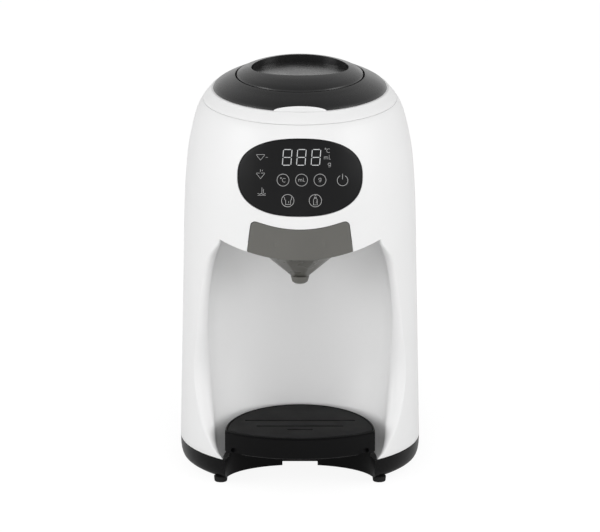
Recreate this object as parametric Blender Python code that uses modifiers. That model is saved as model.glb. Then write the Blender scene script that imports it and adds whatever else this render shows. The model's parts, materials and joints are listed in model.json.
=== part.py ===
"""Baby formula maker: a round column with a bottle bay, a powder container, a funnel drawer and a rear tank.

Metres, +Z up, the front faces -Y. The origin is on the ground, under the middle of the whole machine.
Every piece is placed from the column axis, a vertical line through the middle of the lid.
"""

import math

import bmesh
import bpy
from mathutils import Matrix, Vector

# Whole machine
column_radius = 0.0884
overall_depth = 0.2640
foot_height = 0.0039
gap = 0.0003
wall = 0.0030
overrun = 0.0100
weld_distance = 0.00001
base_bottom = foot_height + gap
base_height = 0.0148
base_top = base_bottom + base_height
shoulder_top = 0.2865
column_y = column_radius - overall_depth / 2
tank_reach = overall_depth - column_radius

# Column outline: heights between base and lid edge, with the size of the plan at each one
column_segments = 48
column_height_shares = [0.0, 0.30, 0.49, 0.677, 0.80, 0.877, 0.935, 0.972, 1.0]
column_radius_shares = [1.0, 0.985, 0.975, 0.965, 0.941, 0.904, 0.860, 0.807, 0.741]
column_rear_shares = [1.47, 1.47, 1.46, 1.44, 1.23, 1.03, 0.92, 0.825, 0.741]
column_power_shares = [3.0, 3.0, 3.0, 3.0, 2.9, 2.6, 2.3, 2.05, 2.0]
column_ring_shares = [0.30, 0.60, 0.72, 0.80, 0.86, 0.91, 0.945, 0.972]
split_y = 0.0300
dock_y = 0.0780

# Bottle bay: half width, lip radius and depth behind the axis at each height
bay_height_shares = [0.0, 0.035, 0.15, 0.34, 0.55, 0.75, 0.89, 0.96, 1.0]
bay_cheek = 0.0204
bay_half_width = column_radius - bay_cheek
bay_width_shares = [0.834, 0.900, 0.930, 0.969, 1.0, 0.975, 0.918, 0.872, 0.840]
bay_lip_radius = 0.0080
bay_lip_shares = [0.075, 0.20, 0.80, 1.0, 0.65, 0.50, 0.50, 0.25, 0.10]
bay_rear = 0.0090
bay_rear_shares = [0.11, 0.20, 0.40, 0.80, 1.0, 0.85, 0.40, 0.0, -0.44]
bay_ring_shares = [0.0, 0.035, 0.08, 0.15, 0.24, 0.36, 0.55, 0.70, 0.82, 0.91]
bay_lip_turn = math.radians(125)
bay_wall_steps = 7
bay_lip_steps = 4
bay_ceiling_steps = 23
bay_ceiling = 0.1784
bay_ceiling_rise = 0.0086
bay_head = 0.0096
bay_top = bay_ceiling + bay_head
bay_corner = 0.0109
bay_corner_x = bay_half_width - bay_corner

# Top ring under the lid
ring_height = 0.0084
ring_land = 0.0069
ring_lip = 0.0020
ring_lip_rise = 0.0017
ring_lip_relief = 0.0225
ring_seam = shoulder_top - ring_height
ring_top = shoulder_top - gap
ring_edge_radius = column_radius * column_radius_shares[-1]
ring_bore = ring_edge_radius - ring_land
ring_lip_radius = ring_bore + ring_lip
ring_lip_top = ring_top + ring_lip_rise

# Lid
lid_reveal = 0.0013
lid_radius = ring_edge_radius - lid_reveal
lid_rise = 0.0200
lid_radius_shares = [1.0, 0.991, 0.966, 0.903, 0.830, 0.748, 0.740, 0.732, 0.722, 0.640, 0.500, 0.25]
lid_rise_shares = [0.0, 0.06, 0.14, 0.27, 0.388, 0.505, 0.485, 0.485, 0.545, 0.685, 0.83, 0.965]
lid_hollow_shares = [0.25, 0.50, 0.66, 0.80, 0.90]
lid_shell = 0.0018
lid_lip_gap = 0.0006
lid_bore = ring_lip_radius + lid_lip_gap
lid_steps = 44
lid_notch = 0.0032
lid_dish_half_width = 0.0360
lid_dish_half_depth = 0.0280
lid_dish_front_step = 0.0008
lid_dish_rear_step = 0.0056
lid_dish_steps = 28

# Lid hinge
hinge_back = 0.0020
hinge_drop = 0.0032
hinge_y = ring_edge_radius + hinge_back
hinge_z = ring_top - hinge_drop
hinge_barrel_radius = 0.0030
hinge_barrel_steps = 16
hinge_pin_radius = 0.0013
hinge_pin_steps = 12
hinge_bore_radius = hinge_pin_radius + gap
hinge_arm_half_width = 0.0097
hinge_slot_gap = 0.0005
hinge_ear_width = 0.0080

# Lid liner and its seal
liner_gap = 0.0010
liner_depth = 0.0052
liner_radius = ring_bore - liner_gap
liner_bottom = ring_top - liner_depth
liner_plate = 0.0014
liner_rib_inset = 0.0016
liner_rib_width = 0.0030
seal_gap = 0.0007
seal_radius = ring_bore - seal_gap
seal_depth = 0.0032
seal_height = 0.0020

# Funnel drawer
plate_margin = 0.0290
plate_bottom_half_width = bay_half_width - plate_margin
plate_taper = 0.0070
plate_thickness = 0.0032
plate_top_rise = 0.0044
plate_height = 0.0233
plate_corner = 0.0044
plate_steps = 10
drawer_gap = 0.0004
drawer_inset = 0.0014
drawer_half_width = plate_bottom_half_width - drawer_inset
drawer_frame = 0.0035
drawer_frame_low = bay_top
drawer_frame_high = drawer_frame_low + drawer_frame
drawer_frame_rim = 0.0045
drawer_frame_steps = 14
funnel_radius = drawer_half_width - drawer_frame_rim
funnel_bore_gap = 0.0004
funnel_flange = 0.0017
funnel_flange_width = 0.0026
funnel_flange_radius = funnel_radius + funnel_flange_width
funnel_neck = 0.0060
funnel_top = drawer_frame_high + funnel_neck
funnel_wall = 0.0016
funnel_skirt = 0.0032
funnel_cone = 0.0234
funnel_spout = 0.0055
funnel_shoulder_z = bay_ceiling - funnel_skirt
funnel_throat_z = funnel_shoulder_z - funnel_cone
funnel_throat_radius = 0.0067
funnel_spout_radius = 0.0059
funnel_spout_mouth = 0.0039
funnel_spout_edge = 0.0022
funnel_spout_wall = 0.0012
funnel_spout_z = funnel_throat_z - funnel_spout
funnel_steps = 28
rail_bite = 0.0013
rail_web = 0.0044
rail_drop = 0.0014
rail_front_gap = 0.0047
rail_groove = 0.0004
sensor_size = 0.0080

# Panel in the head, between the drawer's front plate and the ring
panel_half_width = 0.0460
panel_lower_margin = 0.0055
panel_upper_margin = 0.0091
panel_low = bay_ceiling + plate_height + plate_top_rise + panel_lower_margin
panel_high = ring_seam - panel_upper_margin
panel_half_height = (panel_high - panel_low) / 2
panel_z = (panel_high + panel_low) / 2
panel_power = 2.5
panel_points = 44
panel_thickness = 0.0015
window_half_width = 0.0290
window_lower_margin = 0.0114
window_upper_margin = 0.0090
window_low = panel_low + window_lower_margin
window_high = panel_high - window_upper_margin
board_margin = 0.0010
board_depth = 0.0204
board_half_width = window_half_width + board_margin
board_low = window_low - board_margin
board_high = window_high + board_margin
board_y = column_radius - board_depth
board_thickness = 0.0016
digit_half_width = 0.0150
digit_height = 0.0130
digit_depth = 0.0036
digit_margin = 0.0030
digit_high = window_high - digit_margin

# Powder container's radii, which fit the ring's bore
container_gap = 0.0004
container_inset = 0.0024
container_flange_radius = ring_bore - container_gap
container_radius = ring_bore - container_inset
container_wall = 0.0024
container_inner_radius = container_radius - container_wall

# Deck that carries the container, the motor and the rails
deck_lift = 0.0105
deck_thickness = 0.0030
deck_low = drawer_frame_high + deck_lift
deck_high = deck_low + deck_thickness
deck_notch_share = 0.427
deck_notch_x = container_radius * deck_notch_share
deck_notch_y = container_radius * deck_notch_share
deck_rear_inset = 0.0032
deck_rear_y = container_radius - deck_rear_inset
deck_ring_inset = 0.0008
deck_ring_radius = container_radius - deck_ring_inset
deck_ring_wall = 0.0032
deck_ring_height = 0.0087
deck_ring_top = deck_high + deck_ring_height

# Powder container and what turns in it
container_low = deck_ring_top + gap
container_floor = 0.0024
container_head = 0.0026
container_top = ring_seam - container_head
container_flange = 0.0030
container_steps = 30
container_lid_height = 0.0030
container_lid_high = container_top + container_lid_height
container_lid_overlap = 0.0040
knob_radius = 0.0110
knob_height = 0.0018
pocket_count = 6
pocket_radius = 0.0070
outlet_radius = pocket_radius + gap
wheel_gap = 0.0006
wheel_height = 0.0073
wheel_low = container_low + container_floor + gap
wheel_high = wheel_low + wheel_height
hub_radius = 0.0060
hub_hole_gap = 0.0005
tang_half = 0.0035
cover_height = 0.0020
cover_high = wheel_high + cover_height
cover_half_angle = math.radians(32)
cover_steps = 12
stirrer_hub_inset = 0.0005
stirrer_height_share = 0.606
stirrer_top = cover_high + (container_top - cover_high) * stirrer_height_share
stirrer_arm_count = 3
stirrer_arm_gap = 0.0038
stirrer_arm_width = 0.0040
stirrer_arm_height = 0.0030
stirrer_arm_lift = 0.0015
stirrer_arm_drop = 0.0080

# Powder chute and water nozzle
chute_ledge = 0.0002
chute_wall = 0.0012
chute_bore = pocket_radius - chute_ledge
chute_radius = chute_bore + chute_wall
chute_flange = 0.0012
chute_flange_radius = chute_radius + chute_flange
chute_drop = 0.0028
chute_low = deck_low - chute_drop
nozzle_x = 0.0200
nozzle_radius = 0.0036
nozzle_bore = 0.0014
nozzle_head = 0.0015
nozzle_top = container_low - nozzle_head
nozzle_barb = 0.0050

# Drive: the gear runs beside the chute's flange, and the motor stands behind the drawer's sensor
gear_teeth = 36
pinion_teeth = 12
gear_head = 0.0017
gear_low = deck_high + gap
gear_high = container_low - gear_head
tooth_addendum_share = 0.80
tooth_dedendum_share = 1.15
tooth_root_share = 0.56
tooth_tip_share = 0.26
gear_play = 0.00036
motor_radius = 0.0170
motor_gap = 0.0022
motor_height = 0.0400
motor_shaft_radius = 0.0015
motor_shaft_head = 0.0010
motor_shaft_top = gear_high - motor_shaft_head
motor_neck_radius = 0.0060
motor_neck = 0.0020
motor_place = drawer_half_width + drawer_gap + sensor_size + motor_gap + motor_radius
chute_place = chute_flange_radius + gear_play
gear_tip_share = (gear_teeth + 2 * tooth_addendum_share) / (gear_teeth + pinion_teeth)
pinion_y = (motor_place - chute_place) / (1 + gear_tip_share)
spout_y = pinion_y * gear_tip_share + chute_place
gear_module = 2 * pinion_y / (gear_teeth + pinion_teeth)

# Base
base_tuck_height_shares = [0.0, 0.088, 0.257, 0.527, 1.0]
base_tuck = 0.0044
base_tuck_shares = [1.0, 0.58, 0.28, 0.09, 0.0]
base_power = 3.0
base_floor = 0.0033
base_floor_top = base_bottom + base_floor
leg_width = 0.0329
leg_inner_x = column_radius - leg_width
scoop_front = 0.0164
scoop_centre_y = column_radius - scoop_front
scoop_rear_y = 0.0314
scoop_depth = scoop_centre_y - scoop_rear_y
scoop_points = 22
scoop_notch_half_width = 0.0130
scoop_notch_y = 0.0225
pedestal_rise = 0.0062
pedestal_top = base_top + pedestal_rise
pedestal_inset = 0.0025
pedestal_half_width = leg_inner_x - pedestal_inset
pedestal_rear_y = 0.0020
pedestal_steps = 18
foot_radius = 0.0047
foot_inset = 0.0031
foot_front_inset = 0.0112
foot_front_x = leg_inner_x + foot_inset
foot_front_y = math.sqrt(column_radius**2 - leg_inner_x**2) - foot_front_inset
foot_rear_x = 0.0500
foot_rear_inset = 0.0336
foot_rear_y = tank_reach - foot_rear_inset
screw_front_offset = 0.0020
screw_front_x = bay_half_width + screw_front_offset
screw_front_y = 0.0180
screw_rear_inset = 0.0244
screw_rear_x = column_radius - screw_rear_inset
screw_rear_offset = 0.0180
screw_rear_y = dock_y - screw_rear_offset
screw_radius = 0.0015
screw_head_radius = 0.0032
screw_head = 0.0018
screw_boss_wall = 0.0010
screw_boss_radius = screw_head_radius + screw_boss_wall
screw_boss_head = 0.0004
screw_boss_top = base_top - screw_boss_head
screw_hole_gap = 0.0003

# Drip tray
tray_low = pedestal_top + gap
tray_height = 0.0165
tray_top = tray_low + tray_height
tray_half_width = leg_inner_x
tray_rear_y = 0.0012
tray_front_inset = 0.0002
tray_edge = 0.0022
tray_rim = 0.0022
tray_wall = 0.0042
tray_floor = 0.0022
tray_plate = 0.0026
tray_seam = 0.0004
tray_points = 16
slot_length_shares = [0.739, 0.582, 0.173]
slot_place_shares = [0.476, 0.637, 0.739]
slot_half_width = 0.0011

# Water tank
tank_side_inset = 0.0104
tank_half_width = column_radius - tank_side_inset
tank_dock_gap = 0.0015
tank_front_y = dock_y + tank_dock_gap
tank_hinge_radius = 0.0019
tank_rear_y = tank_reach - 2 * tank_hinge_radius - gap
tank_mid_y = 0.1050
tank_front_power = 6.0
tank_rear_power = 2.3
tank_segments = 36
tank_deck_rise = 0.0062
tank_deck_top = base_top + tank_deck_rise
tank_low = tank_deck_top + gap
tank_top = 0.2220
tank_wall = 0.0026
tank_lid_height = 0.0080
tank_lid_top = tank_top + tank_lid_height
tank_lid_edge = 0.0030
tank_lid_spigot = 0.0040
tank_lid_spigot_wall = 0.0018
tank_lid_plate = 0.0022
tank_hinge_pin_radius = 0.0009
tank_hinge_bore_gap = 0.0002
tank_hinge_bore_radius = tank_hinge_pin_radius + tank_hinge_bore_gap
tank_hinge_line = tank_rear_y + tank_hinge_radius
tank_hinge_lift = 0.0022
tank_hinge_z = tank_top + tank_hinge_lift
tank_ear_inner_x = 0.0140
tank_ear_outer_x = 0.0200
tank_ear_drop = 0.0120
tank_ear_bite = 0.0012

# Tank outlet, valve and float
port_radius = 0.0070
port_wall = 0.0016
port_drop = 0.0045
port_play = 0.0010
coupler_bore = port_radius + port_wall + port_play
coupler_wall = 0.0024
coupler_radius = coupler_bore + coupler_wall
coupler_floor_thickness = 0.0045
coupler_floor = base_floor_top + coupler_floor_thickness
coupler_pin_radius = 0.0015
coupler_pin_drop = 0.0019
coupler_pin_top = tank_low - coupler_pin_drop
coupler_nipple_radius = 0.0022
coupler_nipple = 0.0060
coupler_nipple_drop = 0.0006
coupler_nipple_z = coupler_floor - coupler_nipple_drop
valve_seat = 0.0016
valve_radius = port_radius + valve_seat
valve_disc = 0.0020
valve_lift = 0.0025
valve_stem_radius = 0.0018
bridge_lift = 0.0165
bridge_z = tank_low + bridge_lift
bridge_half_width = 0.0120
bridge_bar = 0.0030
spring_radius = 0.0046
spring_wire = 0.0005
spring_turns = 4
spring_points = 8
float_x = 0.0300
float_half_width = 0.0075
float_depth = 0.0100
float_height = 0.0150
float_lift = 0.0065
float_low = tank_low + float_lift
guide_bar = 0.0020
guide_height = 0.0480
guide_top = float_low + guide_height

# Pump, heater, boards and inlet
pump_x = 0.0400
pump_y = 0.0450
pump_radius = 0.0150
pump_mount_height = 0.0047
pump_height = 0.0498
pump_low = base_floor_top + pump_mount_height
pump_high = pump_low + pump_height
pump_nipple = 0.0050
pump_inlet_lift = 0.0078
pump_inlet_z = pump_low + pump_inlet_lift
heater_inset = 0.0182
heater_x = container_radius - heater_inset
heater_y = 0.0480
heater_radius = 0.0130
heater_lift = 0.0080
heater_length = 0.0780
heater_low = pump_high + heater_lift
heater_high = heater_low + heater_length
heater_nipple = 0.0060
heater_cap = 0.0040
heater_cap_radius = 0.0144
bracket_lift = 0.0180
bracket_height = 0.0420
bracket_low = heater_low + bracket_lift
bracket_high = bracket_low + bracket_height
bracket_half_width = 0.0080
thermostat_radius = 0.0070
thermostat_depth = 0.0050
hose_radius = 0.0030
hose_nipple_radius = 0.0019
power_board_x = 0.0150
power_board_half_width = 0.0330
power_board_low = 0.0880
power_board_height = 0.0840
power_board_high = power_board_low + power_board_height
transformer_half_width = 0.0120
transformer_depth = 0.0160
transformer_lift = 0.0120
transformer_height = 0.0250
transformer_low = power_board_low + transformer_lift
transformer_high = transformer_low + transformer_height
cable_radius = 0.0016
cable_side_shares = [0.68, 0.94, 1.0, 0.90, 0.72, 0.50]
cable_front_shares = [0.73, 0.34]
inlet_y = 0.0500
inlet_z = 0.0460
inlet_half_width = 0.0096
inlet_half_height = 0.0076
inlet_recess = 0.0024
inlet_face_x = column_radius - inlet_recess
inlet_depth = 0.0190
inlet_socket_radius = 0.0036
inlet_socket_spacing = 0.0044
inlet_socket_depth = 0.0120
inlet_pin_radius = 0.0011
inlet_pin_length = 0.0090

# Colours: base colour, roughness, metallic
finishes = {
    "white": ((0.84, 0.84, 0.84), 0.30, 0.0),
    "charcoal": ((0.035, 0.035, 0.037), 0.42, 0.0),
    "black": ((0.012, 0.012, 0.013), 0.35, 0.0),
    "panel": ((0.008, 0.008, 0.009), 0.12, 0.0),
    "taupe": ((0.14, 0.14, 0.125), 0.50, 0.0),
    "smoke": ((0.16, 0.16, 0.145), 0.30, 0.0),
    "tank": ((0.55, 0.58, 0.60), 0.12, 0.0),
    "clear": ((0.70, 0.72, 0.73), 0.15, 0.0),
    "rubber": ((0.02, 0.02, 0.02), 0.85, 0.0),
    "silicone": ((0.62, 0.62, 0.60), 0.60, 0.0),
    "grey": ((0.30, 0.30, 0.31), 0.50, 0.0),
    "steel": ((0.56, 0.56, 0.57), 0.28, 1.0),
    "board": ((0.02, 0.10, 0.05), 0.45, 0.0),
}

part_collection = bpy.data.collections.new("baby_formula_maker")
cutter_collection = bpy.data.collections.new("cutters")
materials = {}


def clear_scene():
    for obj in list(bpy.data.objects):
        bpy.data.objects.remove(obj, do_unlink=True)


def start_collections():
    bpy.context.scene.collection.children.link(part_collection)
    bpy.context.scene.collection.children.link(cutter_collection)


def finish_material(name, finish):
    """A material of its own for each piece, in one of the machine's finishes."""
    colour, roughness, metallic = finishes[finish]
    material = bpy.data.materials.new(name + "_" + finish)
    material.use_nodes = True
    shader = material.node_tree.nodes["Principled BSDF"]
    shader.inputs["Base Color"].default_value = (*colour, 1.0)
    shader.inputs["Roughness"].default_value = roughness
    shader.inputs["Metallic"].default_value = metallic
    return material


def link(name, mesh, finish=None, axis=(0.0, 0.0, 0.0)):
    """Adds a piece, or a cutter when it has no finish, with its origin at axis."""
    obj = bpy.data.objects.new(name, mesh)
    origin = Vector(axis)
    mesh.transform(Matrix.Translation(-origin))
    obj.location = origin
    obj.parent = column_axis
    if finish is None:
        cutter_collection.objects.link(obj)
        obj.hide_render = True
        obj.display_type = "WIRE"
    else:
        part_collection.objects.link(obj)
        mesh.materials.append(finish_material(name, finish))
    return obj


def to_mesh(bm, name, smooth=False):
    bmesh.ops.recalc_face_normals(bm, faces=bm.faces)
    mesh = bpy.data.meshes.new(name)
    bm.to_mesh(mesh)
    bm.free()
    if smooth:
        mesh.shade_smooth()
        mesh.set_sharp_from_angle(angle=math.radians(35))
    return mesh


def combine(target, other, operation):
    """Cuts, joins or intersects one piece with another, exactly."""
    modifier = target.modifiers.new(operation.lower() + "_" + other.name, "BOOLEAN")
    modifier.operation = operation
    modifier.solver = "EXACT"
    modifier.object = other
    return target


def cut(target, *others):
    for other in others:
        combine(target, other, "DIFFERENCE")
    return target


def join(target, *others):
    for other in others:
        combine(target, other, "UNION")
    return target


def curve_value(places, values, place):
    """A smooth value between hand-placed rows, with level ends, by cubic pieces through the rows."""
    if place <= places[0]:
        return values[0]
    if place >= places[-1]:
        return values[-1]
    row = max(index for index in range(len(places)) if places[index] <= place)
    span = places[row + 1] - places[row]
    share = (place - places[row]) / span

    def slope(index):
        before = max(index - 1, 0)
        after = min(index + 1, len(places) - 1)
        return (values[after] - values[before]) / (places[after] - places[before])

    start = values[row]
    end = values[row + 1]
    lift = 3 * share**2 - 2 * share**3
    lean_start = share - 2 * share**2 + share**3
    lean_end = share**3 - share**2
    return start + (end - start) * lift + span * (slope(row) * lean_start + slope(row + 1) * lean_end)


def power_curve(value, power):
    return math.copysign(abs(value) ** (2 / power), value)


def oval(half_width, front, rear, front_power, rear_power, count, centre_y=0.0):
    """A plan outline, anticlockwise from +X: front and rear half each a rounded curve of its own power."""
    points = []
    for index in range(count):
        angle = 2 * math.pi * index / count
        power = rear_power if math.sin(angle) >= 0 else front_power
        depth = rear if math.sin(angle) >= 0 else front
        x = half_width * power_curve(math.cos(angle), power)
        y = depth * power_curve(math.sin(angle), power)
        points.append((x, centre_y + y))
    return points


def loft(name, outlines, heights, finish=None, axis=(0.0, 0.0, 0.0)):
    """A closed body through plan outlines of equal point count, one at each height."""
    bm = bmesh.new()
    rings = []
    for outline, height in zip(outlines, heights):
        rings.append([bm.verts.new((x, y, height)) for x, y in outline])
    for lower, upper in zip(rings, rings[1:]):
        for index in range(len(lower)):
            after = (index + 1) % len(lower)
            bm.faces.new((lower[index], lower[after], upper[after], upper[index]))
    bm.faces.new(list(reversed(rings[0])))
    bm.faces.new(rings[-1])
    return link(name, to_mesh(bm, name, smooth=True), finish, axis)


def prism(name, outline, low, high, finish=None, along="Z", axis=(0.0, 0.0, 0.0)):
    """A flat outline given thickness: in plan and along Z, or in the front view and along Y."""
    bm = bmesh.new()
    if along == "Z":
        corners = [bm.verts.new((x, y, low)) for x, y in outline]
        travel = Vector((0, 0, high - low))
    else:
        corners = [bm.verts.new((x, low, z)) for x, z in outline]
        travel = Vector((0, high - low, 0))
    face = bm.faces.new(corners)
    extruded = bmesh.ops.extrude_face_region(bm, geom=[face], use_keep_orig=True)
    moved = [item for item in extruded["geom"] if isinstance(item, bmesh.types.BMVert)]
    bmesh.ops.translate(bm, verts=moved, vec=travel)
    return link(name, to_mesh(bm, name), finish, axis)


def box(name, low, high, finish=None, axis=(0.0, 0.0, 0.0), edge=0.0):
    """A block between two corners, with rounded edges if edge is given."""
    bm = bmesh.new()
    bmesh.ops.create_cube(bm, size=1.0)
    size = Vector(high) - Vector(low)
    middle = (Vector(high) + Vector(low)) / 2
    bmesh.ops.scale(bm, vec=size, verts=bm.verts)
    bmesh.ops.translate(bm, vec=middle, verts=bm.verts)
    if edge:
        bmesh.ops.bevel(bm, geom=bm.edges, offset=edge, segments=2, profile=0.5, affect="EDGES")
    return link(name, to_mesh(bm, name), finish, axis)


def rod(name, radius, start, end, finish=None, steps=20, axis=(0.0, 0.0, 0.0), end_radius=None):
    """A round bar, or a cone when end_radius is given, between two points."""
    start = Vector(start)
    end = Vector(end)
    length = (end - start).length
    turn = (end - start).to_track_quat("Z", "Y").to_matrix().to_4x4()
    place = Matrix.Translation((start + end) / 2) @ turn
    bm = bmesh.new()
    top_radius = radius if end_radius is None else end_radius
    bmesh.ops.create_cone(
        bm, cap_ends=True, segments=steps, radius1=radius, radius2=top_radius, depth=length, matrix=place
    )
    return link(name, to_mesh(bm, name, smooth=True), finish, axis)


def turned(name, profile, finish=None, steps=32, centre=(0.0, 0.0)):
    """A turned body: the profile, in radius and height, runs down its outer side and back up inside."""
    bm = bmesh.new()
    corners = [bm.verts.new((radius, 0, height)) for radius, height in profile]
    for first, second in zip(corners, corners[1:]):
        bm.edges.new((first, second))
    if profile[0][0] > 0:
        bm.edges.new((corners[-1], corners[0]))
    mesh = bpy.data.meshes.new(name)
    bm.to_mesh(mesh)
    bm.free()
    obj = link(name, mesh, finish)
    obj.location = (centre[0], centre[1], 0)
    screw = obj.modifiers.new("turn", "SCREW")
    screw.axis = "Z"
    screw.steps = steps
    screw.render_steps = steps
    screw.use_merge_vertices = True
    screw.merge_threshold = weld_distance
    screw.use_smooth_shade = True
    return obj


def smooth_path(points, per_span):
    """Points along a smooth curve through hand-placed ones."""
    places = [0.0]
    for before, after in zip(points, points[1:]):
        places.append(places[-1] + math.dist(before, after))
    result = [points[0]]
    for start, end in zip(places, places[1:]):
        for step in range(1, per_span + 1):
            place = start + (end - start) * step / per_span
            result.append(tuple(curve_value(places, [point[k] for point in points], place) for k in range(3)))
    return result


def tube(name, points, radius, finish, per_span=4, resolution=1):
    """A hose, cable or wire along a smooth path, with closed ends."""
    curve = bpy.data.curves.new(name, "CURVE")
    curve.dimensions = "3D"
    curve.bevel_depth = radius
    curve.bevel_resolution = resolution
    curve.use_fill_caps = True
    spline = curve.splines.new("POLY")
    path = smooth_path(points, per_span)
    spline.points.add(len(path) - 1)
    for point, place in zip(spline.points, path):
        point.co = (*place, 1.0)
    obj = bpy.data.objects.new(name, curve)
    obj.parent = column_axis
    part_collection.objects.link(obj)
    curve.materials.append(finish_material(name, finish))
    return obj


def height_share(height):
    return (height - base_top) / (shoulder_top - base_top)


def column_plan(height, inset=0.0):
    share = height_share(height)
    radius = column_radius * curve_value(column_height_shares, column_radius_shares, share)
    rear = column_radius * curve_value(column_height_shares, column_rear_shares, share)
    power = curve_value(column_height_shares, column_power_shares, share)
    return oval(radius - inset, radius - inset, rear - inset, 2.0, power, column_segments)


def column_front(height):
    """How far in front of the axis the column's skin is, in the middle."""
    return column_radius * curve_value(column_height_shares, column_radius_shares, height_share(height))


def column_body(name, low, high, inset=0.0, finish=None, axis=(0.0, 0.0, 0.0)):
    """The column's outer form between two heights, or the same form drawn in by inset."""
    levels = [base_top + share * (shoulder_top - base_top) for share in column_ring_shares]
    heights = [low] + [level for level in levels if low + wall / 2 < level < high - wall / 2] + [high]
    return loft(name, [column_plan(height, inset) for height in heights], heights, finish, axis)


def bay_values(height):
    share = (height - base_top) / (bay_top - base_top)
    half_width = bay_half_width * curve_value(bay_height_shares, bay_width_shares, share)
    lip = bay_lip_radius * curve_value(bay_height_shares, bay_lip_shares, share)
    rear = bay_rear * curve_value(bay_height_shares, bay_rear_shares, share)
    return half_width, lip, rear


def bay_plan(height, grow):
    """The bay's plan: an oval wall behind, and a rounded lip that runs out through the column's skin."""
    half_width, lip, rear = bay_values(height)
    skin = column_front(height)
    lip_end_x = half_width + lip * (1 - math.cos(bay_lip_turn))
    lip_end_y = -math.sqrt(skin**2 - lip_end_x**2)
    lip_y = lip_end_y + lip * math.sin(bay_lip_turn)
    radius = max(lip - grow, bay_lip_radius / 20)
    lip_x = half_width + grow + radius
    side = []
    for step in range(bay_wall_steps):
        angle = math.pi / 2 * (1 - step / bay_wall_steps)
        side.append((
            (half_width + grow) * math.cos(angle),
            lip_y + (rear + grow - lip_y) * math.sin(angle),
        ))
    for step in range(bay_lip_steps + 1):
        angle = bay_lip_turn * step / bay_lip_steps
        side.append((lip_x - radius * math.cos(angle), lip_y - radius * math.sin(angle)))
    last_x, last_y = side[-1]
    reach = column_radius / 3
    side.append((last_x + reach * math.sin(bay_lip_turn), last_y - reach * math.cos(bay_lip_turn)))
    side.append((column_radius + reach, -column_radius - reach))
    mirrored = [(-x, y) for x, y in reversed(side[1:])]
    return list(reversed(side + mirrored))


def ceiling_height(x):
    return bay_ceiling + bay_ceiling_rise * (x / bay_corner_x) ** 2


def bay_body(name, low, high, grow=0.0):
    """The space of the bottle bay, or that space grown by a wall, under the curved ceiling."""
    levels = [base_top + share * (bay_top - base_top) for share in bay_ring_shares]
    heights = [low] + [level for level in levels if low + wall / 4 < level < high] + [high]
    space = loft(name, [bay_plan(height, grow) for height in heights], heights)
    reach = column_radius + column_radius / 2
    edge = []
    for step in range(bay_ceiling_steps + 1):
        x = -reach + 2 * reach * step / bay_ceiling_steps
        edge.append((x, ceiling_height(x) + grow))
    above = edge + [(reach, high + reach), (-reach, high + reach)]
    block = prism(name + "_ceiling", above, -2 * reach, reach, along="Y")
    return cut(space, block)


def plate_outline(grow=0.0):
    """The drawer front in the front view: curved like the bay's ceiling below, narrower above."""
    bottom = []
    top = []
    bottom_half = plate_bottom_half_width + grow
    top_half = plate_bottom_half_width - plate_taper + grow
    for step in range(plate_steps + 1):
        share = -1 + 2 * step / plate_steps
        bottom.append((share * bottom_half, ceiling_height(share * bottom_half) - grow))
    top_middle = bay_ceiling + plate_height
    for step in range(plate_steps + 1):
        share = 1 - 2 * step / plate_steps
        top.append((share * top_half, top_middle + plate_top_rise * share**2 + grow))
    right_side = (plate_bottom_half_width - plate_corner / 2 + grow, top_middle + plate_top_rise / 4)
    left_side = (-right_side[0], right_side[1])
    return bottom + [right_side] + top + [left_side]


def half_space(name, low_y, high_y):
    """A block wider and taller than the machine, between two planes across it."""
    reach = overall_depth
    return box(name, (-reach, low_y, -reach), (reach, high_y, shoulder_top + reach))


def make_shells():
    """The column: front shell with the bay and drawer tunnel, rear shell with the flat back."""
    seam_gap = gap / 2
    tunnel_end = spout_rear() + drawer_gap
    tunnel = prism("drawer_tunnel", plate_outline(drawer_gap), -overall_depth, tunnel_end, along="Y")
    pocket = prism("panel_pocket", panel_outline(gap), -overall_depth, -column_radius / 2, along="Y")
    cut(pocket, column_body("panel_pocket_floor", base_top, ring_seam + overrun, panel_thickness + gap))
    window = box(
        "panel_window",
        (-window_half_width, -column_radius - overrun, window_low),
        (window_half_width, -board_y + overrun, window_high),
    )
    for side, finish in (("front", "white"), ("rear", "white")):
        shell = column_body(side + "_shell", base_top + gap, ring_seam, 0.0, finish)
        hollow = column_body(side + "_hollow", base_top - overrun, ring_seam + overrun, wall)
        if side == "front":
            cut(hollow, bay_body("bay_wall_space", base_top - 2 * overrun, bay_top + overrun, wall))
            cut(shell, hollow, bay_body("bay_space", base_top - 2 * overrun, bay_top + overrun))
            cut(shell, tunnel, pocket, window)
            cut(shell, half_space("behind_split", split_y - seam_gap, overall_depth))
        else:
            cut(hollow, half_space("behind_back_wall", dock_y - wall, overall_depth))
            cut(shell, half_space("before_split", -overall_depth, split_y + seam_gap), hollow)
            cut(shell, half_space("behind_dock", dock_y, overall_depth))
            hole_half_width = inlet_half_width + gap
            hole_half_height = inlet_half_height + gap
            inlet_hole = box(
                "inlet_hole",
                (inlet_face_x - inlet_depth, inlet_y - hole_half_width, inlet_z - hole_half_height),
                (column_radius + overrun, inlet_y + hole_half_width, inlet_z + hole_half_height),
            )
            cut(shell, inlet_hole)


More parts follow.
